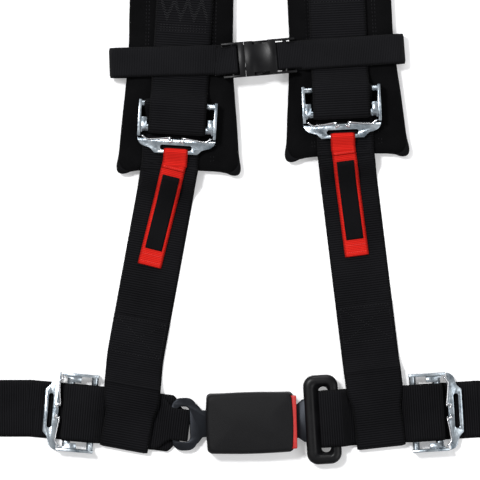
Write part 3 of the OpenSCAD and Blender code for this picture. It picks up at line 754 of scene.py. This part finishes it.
# ---- Shoulder pads ---------------------------------------------------------------------
# Sleeves of coated black cloth over closed-cell foam. Front and back panels are joined by
# a rolled binding all round, which pinches the edge, and two long seams hold the webbing.
pad_cloth = Finish("pad_cloth", Roughness=0.9, Specular_IOR_Level=0.05)
grain = pad_cloth.noise(1500.0, 3.0)
creases = pad_cloth.noise(26.0, 4.0)
# The crease noise also sets the colour: painted shade in the creases, lighter on the raised folds. The fine grain
# is tone that differs at random.
tone = (grain * 0.6 + (creases - 0.5) * 0.8 + 0.15).clamp()
pad_cloth.surface(tone, (0.0006, 0.0006, 0.0007), (0.0042, 0.0042, 0.0048),
                  0.98 - creases * 0.2, grain * 0.35 + creases, 0.5 * MM)

binding_cloth = woven("binding_cloth", (0.001, 0.001, 0.0012), (0.007, 0.007, 0.008),
                      rib=1.3 * MM, yarn=1.0 * MM, height=0.15 * MM)


def pad_half_width(x):
    """Half the pad's width at x from its lower edge."""
    return 46 * MM + 7.5 * MM * eased(1 - x / (115 * MM))


def pad_outline(length):
    """Points round the pad: rounded corners, and sides drawn in between them."""
    corner = 9 * MM
    half = pad_half_width(corner)
    dips = [(half - corner) * (k + 0.5) / 8 for k in range(8)]
    path = [(2.2 * MM * math.cos(math.pi / 2 * y / half), y) for y in dips]
    top = pad_half_width(length)
    path += arc((corner, half - corner), corner, 180, 90, 10)
    steps = 60
    for k in range(1, steps):
        x = corner + (length - 2 * corner) * k / steps
        path.append((x, pad_half_width(x)))
    path += arc((length - corner, top - corner), corner, 90, 0, 10)
    return path + [(x, -y) for x, y in reversed(path)]


def pad_height(share_in, x, y, seed):
    """How full the pad is: crowned inside, pinched at the binding, dimpled by the seams."""
    crown = min(1.0, share_in / (11 * MM))
    full = math.sqrt(max(0.0, 1 - (1 - crown) ** 2))
    seam = sum(math.exp(-(((y - s) / (1.6 * MM)) ** 2)) for s in mm(-28.5, 28.5))
    wrinkle = noise.noise(Vector((x * 22, y * 50, seed))) * 0.5 * MM
    wrinkle += noise.noise(Vector((x * 60, y * 90, seed + 5))) * 0.2 * MM
    return full, seam * 0.9 * MM, wrinkle * full


for side, name in enumerate(("left", "right")):
    low_corner, high_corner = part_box(f"pad_cover_{name}")
    turn = (-1, 3)[side]
    length = 380 * MM
    thick = 12 * MM
    middle = (low_corner + high_corner) / 2
    lean = Vector((-math.sin(math.radians(turn)), math.cos(math.radians(turn)), 0))
    start = middle - lean * length / 2
    place = flat_place(start, 90 + turn, low_corner[2] + thick / 2)
    outline = pad_outline(length)
    shape = bmesh.new()
    shape.loops.layers.uv.verify()
    rings = []
    insets = [0.0, 0.6, 1.6, 3.2, 5.5, 8.5, 12, 17, 23, 30, 38]
    centre_line = [(min(max(x, 40 * MM), length - 40 * MM), 0.0) for x, y in outline]
    for face_side in (1, -1):
        for inset in insets:
            ring = []
            for (x, y), (cx, cy) in zip(outline, centre_line):
                to_middle = Vector((cx - x, cy - y))
                reach = min(1.0, inset * MM / to_middle.length)
                px, py = x + to_middle[0] * reach, y + to_middle[1] * reach
                full, seam, wrinkle = pad_height(inset * MM, px, py, side * 7.0 + face_side)
                up = 1.6 * MM + (thick / 2 - 2.0 * MM) * full - seam + wrinkle * 0.6
                ring.append(shape.verts.new(place @ Vector((px, py, face_side * max(up, 0.8 * MM)))))
            rings.append(ring)
        if face_side == 1:
            tops = rings
            rings = []
    bottoms = rings
    for layers in (tops, bottoms):
        for one, two in zip(layers, layers[1:]):
            girdle(shape, one, two)
        inner = layers[-1]
        count = len(inner) // 2
        for k in range(count - 1):
            shape.faces.new((inner[k], inner[k + 1], inner[-2 - k], inner[-1 - k]))
    girdle(shape, tops[0], bottoms[0])
    pad = piece(f"pad_sleeve_{name}", shape, pad_cloth.material)
    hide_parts(f"pad_cover_{name}", f"pad_foam_{name}")
    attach(pad, "root")

    # Two rows of thread on each side of the webbing hold the panels and the foam together
    shape = bmesh.new()
    for y in mm(-31, -28.5, 28.5, 31):
        row = [(9 * MM, y), (length - 9 * MM, y)]
        run_of_stitches(shape, place, row, thick / 2 - 0.9 * MM, pitch=3.4 * MM)
    stand_in(piece(f"pad_stitches_{name}", shape, thread_finish.material), "pad_cloth", "root")

    # Rolled binding: a lumpy tube that follows the pad's edge and bulges at the corners
    shape = bmesh.new()
    shape.loops.layers.uv.verify()
    loops = []
    run = 0.0
    inward = 2.0 * MM
    for k, (x, y) in enumerate(outline):
        cx, cy = centre_line[k]
        to_middle = Vector((cx - x, cy - y)).normalized()
        near_low = math.exp(-((x / (10 * MM)) ** 2)) * math.exp(-(((abs(y) - 50 * MM) / (7 * MM)) ** 2))
        r = (2.3 + 1.7 * near_low + 0.25 * noise.noise(Vector((x * 70, y * 70, 3 + side)))) * MM
        spot = Vector((x, y)) + to_middle * (inward - 3.2 * MM * near_low)
        run += (Vector(outline[k]) - Vector(outline[k - 1])).length if k else 0
        ring = []
        for a in range(10):
            angle = math.tau * a / 10
            lean = to_middle * (-math.cos(angle) * r)
            point = Vector((spot[0] + lean[0], spot[1] + lean[1], math.sin(angle) * r))
            v = shape.verts.new(place @ point)
            ring.append((v, a / 10 * 12 * MM, run))
        loops.append(ring)
    for k, ring in enumerate(loops):
        cloth_girdle(shape, ring, loops[(k + 1) % len(loops)])
    binding = piece(f"pad_binding_{name}", shape, binding_cloth)
    stand_in(binding, "pad_cloth", "root")

# ---- Slide adjusters -------------------------------------------------------------------
# Four pressed steel frames, bright zinc plated: a nose plate with a grip slot, two ears,
# a fixed bar, and a knurled slide bar that two hooked wire springs push to the nose.
zinc = Finish("zinc_plate", Metallic=1.0, Roughness=0.26)
cloud = zinc.noise(130.0, 4.0)
streak = zinc.noise(900.0, 2.0)
zinc.surface((cloud * 2.2 - 0.6).clamp(), (0.14, 0.18, 0.22), (0.54, 0.59, 0.63),
             0.16 + cloud * 0.22 + streak * 0.06, cloud + streak * 0.12, 0.45 * MM)

wire_steel = Finish("spring_wire", Metallic=1.0, Roughness=0.2)
drawn = wire_steel.noise(1200.0, 2.0)
wire_steel.tint(drawn, (0.6, 0.61, 0.64), (0.9, 0.9, 0.92))


def dressed(node, finish, width, segments=3, name=None):
    """A CAD solid with its sharp edges rounded off, as pressed and moulded pieces are."""
    body = next(key for key, members in frame["record"]["behaviour"]["bodies"].items()
                if node in members)
    source = frame["nodes"][node]
    shape = bmesh.new()
    shape.from_mesh(source.data)
    bmesh.ops.remove_doubles(shape, verts=shape.verts, dist=0.01 * MM)
    bmesh.ops.dissolve_limit(shape, angle_limit=math.radians(1), verts=shape.verts,
                             edges=shape.edges)
    mesh = bpy.data.meshes.new(name or node + "_finished")
    shape.to_mesh(mesh)
    shape.free()
    mesh.materials.clear()
    mesh.materials.append(finish)
    obj = bpy.data.objects.new(mesh.name, mesh)
    bpy.context.collection.objects.link(obj)
    round_edges = obj.modifiers.new("round_edges", "BEVEL")
    round_edges.width = width
    round_edges.segments = segments
    round_edges.limit_method = "ANGLE"
    round_edges.angle_limit = math.radians(32)
    round_edges.use_clamp_overlap = True
    round_edges.harden_normals = True
    apply_modifiers(obj)
    shade_smooth(obj.data)
    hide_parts(node)
    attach(obj, body)
    return obj


def apply_modifiers(obj):
    bpy.context.view_layer.update()
    whole = obj.evaluated_get(bpy.context.evaluated_depsgraph_get())
    mesh = bpy.data.meshes.new_from_object(whole)
    obj.modifiers.clear()
    obj.data = mesh


def tube(shape, points, r, sides=10):
    """A round wire through the points, with closed ends."""
    rings = []
    for k, point in enumerate(points):
        ahead = points[min(k + 1, len(points) - 1)] - points[max(k - 1, 0)]
        turn = ahead.to_track_quat("Z", "Y").to_matrix()
        rings.append([
            shape.verts.new(point + turn @ Vector((
                math.cos(math.tau * a / sides) * r, math.sin(math.tau * a / sides) * r, 0)))
            for a in range(sides)
        ])
    for one, two in zip(rings, rings[1:]):
        girdle(shape, one, two)
    shape.faces.new(rings[0])
    shape.faces.new(rings[-1])


for name in ("left", "right"):
    for kind in ("shoulder", "lap"):
        base = pad_top if kind == "shoulder" else 0.0
        _, _, place = hinge_place(f"{kind}_tilt_{name}", base)
        body = f"{kind}_adjuster_{name}"
        dressed(f"{kind}_frame_{name}", zinc.material, 0.7 * MM, 3)
        dressed(f"{kind}_slide_bar_{name}", zinc.material, 0.4 * MM, 2)
        shape = bmesh.new()
        for side in (-1, 1):
            route = [(28, 31, 8.6), (31.5, 26, 7.6), (30.5, 16, 7.3), (28.8, 5, 7.3)]
            route += [(x, y, 7.3) for x, y in arc((30.6, 4.5), 1.8, 160, -60, 8)]
            route += [(33.4, 6.4, 7.1)]
            points = [place @ Vector((x * MM, side * y * MM, z * MM)) for x, y, z in route]
            smooth = []
            for a, b in zip(points, points[1:]):
                smooth += [a.lerp(b, k / 3) for k in range(3)]
            tube(shape, smooth + points[-1:], 0.8 * MM)
        wires = piece(f"{kind}_wires_{name}", shape, wire_steel.material)
        stand_in(wires, "zinc_steel", body, f"{kind}_springs_{name}")

# ---- Pull tabs -------------------------------------------------------------------------
# Red webbing looped through each shoulder adjuster's nose slot and sewn to itself, with a
# plain black patch stitched along it.
TAB_W = 21.5 * MM
TAB_T = 1.1 * MM
tab_cloth = woven("tab_cloth", (0.30, 0.004, 0.004), (0.68, 0.022, 0.014), rib=1.5 * MM,
                  yarn=0.9 * MM, height=0.25 * MM, sheen=0.0)
patch_cloth = woven("patch_cloth", (0.001, 0.001, 0.0012), (0.007, 0.007, 0.008), rib=0.9 * MM,
                    yarn=0.8 * MM, height=0.1 * MM)
red_thread = Finish("red_thread", Roughness=0.6)
red_tone = red_thread.noise(700.0)
red_thread.tint(red_tone, (0.5, 0.02, 0.02), (0.8, 0.08, 0.06))
tab_pivot_x = 41.5 * MM
tab_bend = tab_pivot_x + 8 * MM
nose_z = 5 * MM
flat = layer_2 + 0.4 * MM
flat_over = flat + TAB_T + 0.1 * MM
tab_turn = (-10.5, 5)
tab_end = mm(96, 99)
for side, name in enumerate(("left", "right")):
    _, _, place = hinge_place(f"shoulder_tilt_{name}", pad_top)
    lower = place @ Matrix.Translation((tab_bend, 0, 0)) @ Matrix.Rotation(
        math.radians(tab_turn[side]), 4, "Z")
    shape = bmesh.new()
    loop = [(tab_bend + 5 * MM, flat_over), (tab_bend, flat_over)]
    loop += arc((tab_pivot_x, nose_z), 2.65 * MM, 80, 280)
    loop += [(tab_bend, flat), (tab_bend + 4 * MM, flat)]
    strap_mesh(shape, loop, 2 * MM, TAB_W, TAB_T, place, columns=8, step=1.5 * MM)
    drop = [(17 * MM, flat), (33 * MM, flat - pad_top)]
    path = [(-2 * MM, flat)] + drop + [(tab_end[side], flat - pad_top)]
    strap_mesh(shape, path, 8 * MM, TAB_W, TAB_T, lower, columns=8, step=2 * MM)
    over = [(-2 * MM, flat_over), (8 * MM, flat_over)]
    strap_mesh(shape, over, 0, TAB_W * 0.99, TAB_T * 0.96, lower, columns=8, step=2 * MM)
    tab = cloth_sheet(f"red_tab_{name}", shape, tab_cloth, "red_webbing", f"pull_tab_{name}",
                      flat=(TAB_W, tab_end[side] + 54 * MM), held="folded")
    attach(tab, f"tab_{name}")

    shape = bmesh.new()
    raised = (TAB_T + 0.6 * MM) / 2 + 0.05 * MM
    route = [(14 * MM, flat + raised), (17.6 * MM, flat + raised)]
    route += [(33.6 * MM, flat - pad_top + raised)]
    route += [(tab_end[side] - 15 * MM, flat - pad_top + raised)]
    strap_mesh(shape, route, 8 * MM, 15.5 * MM, 0.6 * MM, lower, columns=8, step=2 * MM)
    patch = piece(f"plain_patch_{name}", shape, patch_cloth)
    stand_in(patch, "patch", f"tab_{name}", f"tab_label_{name}")

    shape = bmesh.new()
    line = [mm(6.5, -9), mm(6.5, 9)]
    face = TAB_T / 2 + 0.05 * MM
    run_of_stitches(shape, lower, line, flat_over + face, 1.8 * MM, 0.25 * MM)
    for x in (tab_end[side] - 3.5 * MM, tab_end[side] - 10 * MM):
        line = [(x, -9 * MM), (x, 9 * MM)]
        run_of_stitches(shape, lower, line, flat - pad_top + face, 1.8 * MM, 0.25 * MM)
    seams = piece(f"tab_stitches_{name}", shape, red_thread.material)
    stand_in(seams, "red_webbing", f"tab_{name}")

# ---- Anchor plates ---------------------------------------------------------------------
# Flat 3 mm steel plates, zinc plated, with a slot for the strap's eye and a bolt hole.
for name in ("left", "right"):
    dressed(f"shoulder_anchor_{name}", zinc.material, 0.5 * MM, 3)
    dressed(f"lap_anchor_{name}", zinc.material, 0.5 * MM, 3)

# ---- Main buckle -----------------------------------------------------------------------
# End-release belt buckle. A crowned, grained nylon cover and a lower shell are held by four
# screws round a folded steel channel with the latch, its springs and the ejector. The bail
# for the left webbing is riveted to the channel, and the red button fills the open end.
grain_black = Finish("grained_nylon", Roughness=0.5, Specular_IOR_Level=0.14)
pebble = grain_black.node("ShaderNodeTexVoronoi", {"feature": "SMOOTH_F1"},
                          Vector=grain_black.place(), Scale=1150.0, Smoothness=0.6)
worn = grain_black.noise(55.0, 4.0)
fine_grain = grain_black.noise(2400.0, 2.0)
grain_black.surface((worn * 0.7 + pebble * 0.5).clamp(), (0.0015, 0.0015, 0.002),
                    (0.0075, 0.0075, 0.0085), 0.40 + worn * 0.16 + pebble * 0.12,
                    pebble * 0.8 + fine_grain * 0.25, 0.16 * MM)

smooth_black = Finish("moulded_black", Roughness=0.34, Specular_IOR_Level=0.18)
flow = smooth_black.noise(90.0, 4.0)
scuff = smooth_black.noise(1500.0, 3.0)
smooth_black.surface(flow, (0.0015, 0.0015, 0.002), (0.006, 0.006, 0.007),
                     0.24 + flow * 0.18 + scuff * 0.08, scuff * 0.5 + flow * 0.5, 0.05 * MM)

red_nylon = Finish("red_nylon", Roughness=0.4)
red_flow = red_nylon.noise(120.0, 3.0)
red_nylon.tint(red_flow, (0.34, 0.008, 0.007), (0.52, 0.018, 0.014))
red_nylon.bump(red_nylon.noise(1800.0), 0.05 * MM)

black_steel = Finish("blackened_steel", Metallic=0.85, Roughness=0.4)
oxide = black_steel.noise(70.0, 5.0)
rolled = black_steel.noise(1300.0, 2.0)
black_steel.surface(oxide, (0.008, 0.009, 0.012), (0.026, 0.029, 0.035),
                    0.28 + oxide * 0.2 + rolled * 0.1, rolled * 0.6 + oxide * 0.4, 0.06 * MM)

bright_steel = Finish("ground_steel", Metallic=1.0, Roughness=0.3)
ground = bright_steel.noise(800.0, 2.0)
bright_steel.surface(ground, (0.45, 0.46, 0.48), (0.74, 0.75, 0.77), 0.22 + ground * 0.2,
                     ground, 0.04 * MM)


def rounded_loop(middle, size, corner, bulge=0.0, turns=8):
    """A rectangle with round corners, as points, its sides bowed out by bulge."""
    points = []
    half = (size[0] / 2, size[1] / 2)
    corner = min(corner, half[0] * 0.98, half[1] * 0.98)
    hubs = [(sx * (half[0] - corner), sy * (half[1] - corner))
            for sx, sy in ((1, 1), (-1, 1), (-1, -1), (1, -1))]
    for quarter, hub in enumerate(hubs):
        for k in range(turns + 1):
            angle = math.radians(90 * quarter + 90 * k / turns)
            points.append((hub[0] + corner * math.cos(angle), hub[1] + corner * math.sin(angle)))
        next_hub = hubs[(quarter + 1) % 4]
        start = points[-1]
        end = (next_hub[0] + corner * math.cos(angle), next_hub[1] + corner * math.sin(angle))
        for k in range(1, turns):
            t = k / turns
            bow = bulge * math.sin(math.pi * t)
            points.append((start[0] + (end[0] - start[0]) * t + bow * math.cos(angle),
                           start[1] + (end[1] - start[1]) * t + bow * math.sin(angle)))
    return [(middle[0] + x, middle[1] + y) for x, y in points]


def skin(shape, place, loops, capped=True):
    """Quads through a stack of (outline, height) loops, closed at both ends or into a ring."""
    rings = [[shape.verts.new(place @ Vector((x, y, z))) for x, y in loop] for loop, z in loops]
    pairs = list(zip(rings, rings[1:]))
    if not capped:
        pairs.append((rings[-1], rings[0]))
    for one, two in pairs:
        girdle(shape, one, two)
    if capped:
        shape.faces.new(rings[0])
        shape.faces.new(rings[-1])


def cut(obj, place, low, high):
    """Takes a box-shaped bite, given in the place's frame, out of a closed mesh."""
    shape = bmesh.new()
    middle = (Vector(low) + Vector(high)) / 2
    size = Vector(high) - Vector(low)
    skin(shape, place, [(rounded_loop((middle[0], middle[1]), size, 1.2 * MM, turns=3), z)
                        for z in (low[2], high[2])])
    tool = piece("cutter", shape, grain_black.material, smooth=False)
    bite = obj.modifiers.new("bite", "BOOLEAN")
    bite.operation = "DIFFERENCE"
    bite.solver = "EXACT"
    bite.object = tool
    apply_modifiers(obj)
    bpy.data.objects.remove(tool)


base_low, base_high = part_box("buckle_base")
buckle_turn = math.radians(1.5)
buckle_middle = (base_low + base_high) / 2
buckle = flat_place((buckle_middle[0] + 1.35 * MM * math.cos(buckle_turn),
                     buckle_middle[1] + 1.35 * MM * math.sin(buckle_turn)), 1.5)
tongue = buckle @ Matrix.Translation(mm(30, 0, 0)) @ Matrix.Rotation(
    math.radians(2), 4, "Z") @ Matrix.Translation(mm(-30, 0, 10.2))
part_line = 8 * MM
cover_top = 23 * MM
shell_middle = mm(-1.35, 0)
shell_size = mm(77.3, 53)

# Crowned cover: wall, round shoulder and a top that rises 1.6 mm to its middle
outer = []
edge = 4.2 * MM
crown = 1.6 * MM
wall = [(0.25 * MM, part_line), (0.05 * MM, part_line + 1 * MM), (0, part_line + 4 * MM)]
for inset, z in wall:
    outer.append((inset, z))
for k in range(8):
    angle = math.radians(90 * k / 7)
    outer.append((edge * (1 - math.cos(angle)) * 0.98 + 0.1 * MM,
                  cover_top - crown - edge + edge * math.sin(angle)))
for k in range(1, 12):
    share = k / 12
    inset = edge + (26.5 * MM - edge) * share
    outer.append((inset, cover_top - crown + crown * math.sin(math.pi / 2 * share)))
inner = [(inset + 2 * MM, min(z, cover_top - 2.2 * MM - crown * (1 - z / cover_top)))
         for inset, z in outer[:10]]


def shell_loop(inset, z, bulge):
    size = (shell_size[0] - 2 * inset, shell_size[1] - 2 * inset)
    corner = max(0.4 * MM, 5 * MM - inset * 0.2)
    return rounded_loop(shell_middle, size, corner, bulge), z


shape = bmesh.new()
inside = [shell_loop(inset, z, 0.3 * MM) for inset, z in reversed(inner)]
outside = [shell_loop(inset, z, max(0.0, 0.9 * MM - inset * 0.03)) for inset, z in outer]
skin(shape, buckle, inside + outside)
cover = piece("grained_cover", shape, grain_black.material)
cut(cover, buckle, mm(31.1, -24.1, 12.5), mm(40, 24.1, 20.1))
cut(cover, buckle, mm(34.3, -17, 5), mm(40, 17, 12.8))
cut(cover, buckle, mm(-42, -13, 5), mm(-37, 13, 8.6))
shade_smooth(cover.data)
stand_in(cover, "moulded", "root", "buckle_cover")
dressed("buckle_base", grain_black.material, 0.5 * MM, 2)

# The red button: its face is domed, and it overhangs the top edge of the cover a little
shape = bmesh.new()
faces = []
for k in range(6):
    angle = math.radians(90 * k / 5)
    faces.append((1.2 * MM * (1 - math.cos(angle)), 38.8 * MM + 1.2 * MM * math.sin(angle)))
on_end = buckle @ Matrix(((0, 0, 1, 0), (1, 0, 0, 0), (0, 1, 0, 0), (0, 0, 0, 1)))
button_mid = mm(0, 16.3)
button_size = mm(47.2, 7)
button_skin = [(rounded_loop(button_mid, button_size, 1.2 * MM), 35 * MM)]
for inset, reach in faces:
    size = (button_size[0] - 2 * inset, button_size[1] - 2 * inset)
    button_skin.append((rounded_loop(button_mid, size, 1.2 * MM - inset * 0.8), reach))
skin(shape, on_end, button_skin)
for side in (-1, 1):
    arm = [((side * 14 * MM, 16.25 * MM), mm(3, 2.5))]
    skin(shape, on_end, [(rounded_loop(*arm[0], 0.5 * MM, turns=3), x * MM) for x in (20, 35.6)])
button = piece("red_button", shape, red_nylon.material)
stand_in(button, "red_plastic", "press_button", "press_button")

# Steel inside and behind: bail, channel, rivet, screws, latch, springs and ejector
dressed("bail_plate", black_steel.material, 0.8 * MM, 4)
dressed("buckle_frame", bright_steel.material, 0.4 * MM, 2)
dressed("latch", black_steel.material, 0.3 * MM, 2)
dressed("latch_pin", bright_steel.material, 0.3 * MM, 2)
dressed("bail_rivet", bright_steel.material, 0.4 * MM, 3)
dressed("buckle_screws", bright_steel.material, 0.25 * MM, 2)
dressed("ejector", smooth_black.material, 0.3 * MM, 2)


def wound(shape, place, r, wire, height, turns):
    """A compression spring of round wire along the place's Z, with closed ends."""
    steps = round(turns * 14)
    points = []
    for k in range(steps + 1):
        angle = math.tau * turns * k / steps
        share = k / steps
        rise = wire + (height - 2 * wire) * share
        points.append(place @ Vector((r * math.cos(angle), r * math.sin(angle), rise)))
    tube(shape, points, wire, sides=7)


for node, spot, r, wire, height, turns in (
    ("latch_spring", buckle @ Matrix.Translation(mm(10, 0, 14.9)), 2.6 * MM, 0.4 * MM,
     6 * MM, 4.5),
    ("ejector_spring", buckle @ Matrix.Translation(mm(-23, 0, 10.2)) @ Matrix.Rotation(
        math.radians(90), 4, "Y"), 0.75 * MM, 0.28 * MM, 16.7 * MM, 14),
):
    shape = bmesh.new()
    wound(shape, spot, r, wire, height, turns)
    spring = piece(node + "_wound", shape, wire_steel.material)
    stand_in(spring, "zinc_steel", "root", node)
    if node == "latch_spring":
        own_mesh(spring)

# ---- Tongue ----------------------------------------------------------------------------
# Blackened steel tongue, moulded into a thick nylon cover with round edges. The right lap
# webbing passes down through the long slot.
dressed("tongue_plate", black_steel.material, 0.6 * MM, 3)
cover_half = 4 * MM
cover_middle = mm(63, 0)
cover_size = mm(31, 79.5)
slot_middle = mm(65, 0)
slot_size = mm(8.6, 58.8)
round_r = 3.7 * MM
lip = 1.6 * MM
stack = []
for up in (1, -1):
    edge_loops = []
    for k in range(8):
        angle = math.radians(90 * k / 7)
        inset = round_r * 1.5 * (1 - math.cos(angle))
        size = (cover_size[0] - 2 * inset, cover_size[1] - 2 * inset)
        z = cover_half - round_r + round_r * math.sin(angle)
        edge_loops.append((rounded_loop(cover_middle, size, 10 * MM - inset), up * z))
    for k in range(6):
        angle = math.radians(90 - 90 * k / 5)
        spread = 2 * lip * (1 - math.cos(angle))
        size = (slot_size[0] + 2 * lip - spread, slot_size[1] + 2 * lip - spread)
        z = cover_half - 0.3 * MM - lip + lip * math.sin(angle)
        edge_loops.append((rounded_loop(slot_middle, size, 4.2 * MM), up * z))
    stack += edge_loops if up > 0 else reversed(edge_loops)
shape = bmesh.new()
skin(shape, tongue, stack, capped=False)
tongue_cover = piece("tongue_moulding", shape, smooth_black.material)
cut(tongue_cover, tongue, mm(40, -19.05, -1.3), mm(49, 19.05, 1.3))
cut(tongue_cover, tongue, mm(48.9, -34.1, -1.3), mm(59.1, 34.1, 1.3))
shade_smooth(tongue_cover.data)
stand_in(tongue_cover, "moulded", "tongue", "tongue_cover")

# ---- Sternum buckle --------------------------------------------------------------------
# One-inch side-release buckle in black acetal: each half has a ladder that the webbing is
# looped round, and the plug's two arms spring out through the socket's sides.
dressed("sternum_socket", smooth_black.material, 0.45 * MM, 3)
dressed("sternum_plug", smooth_black.material, 0.45 * MM, 3)
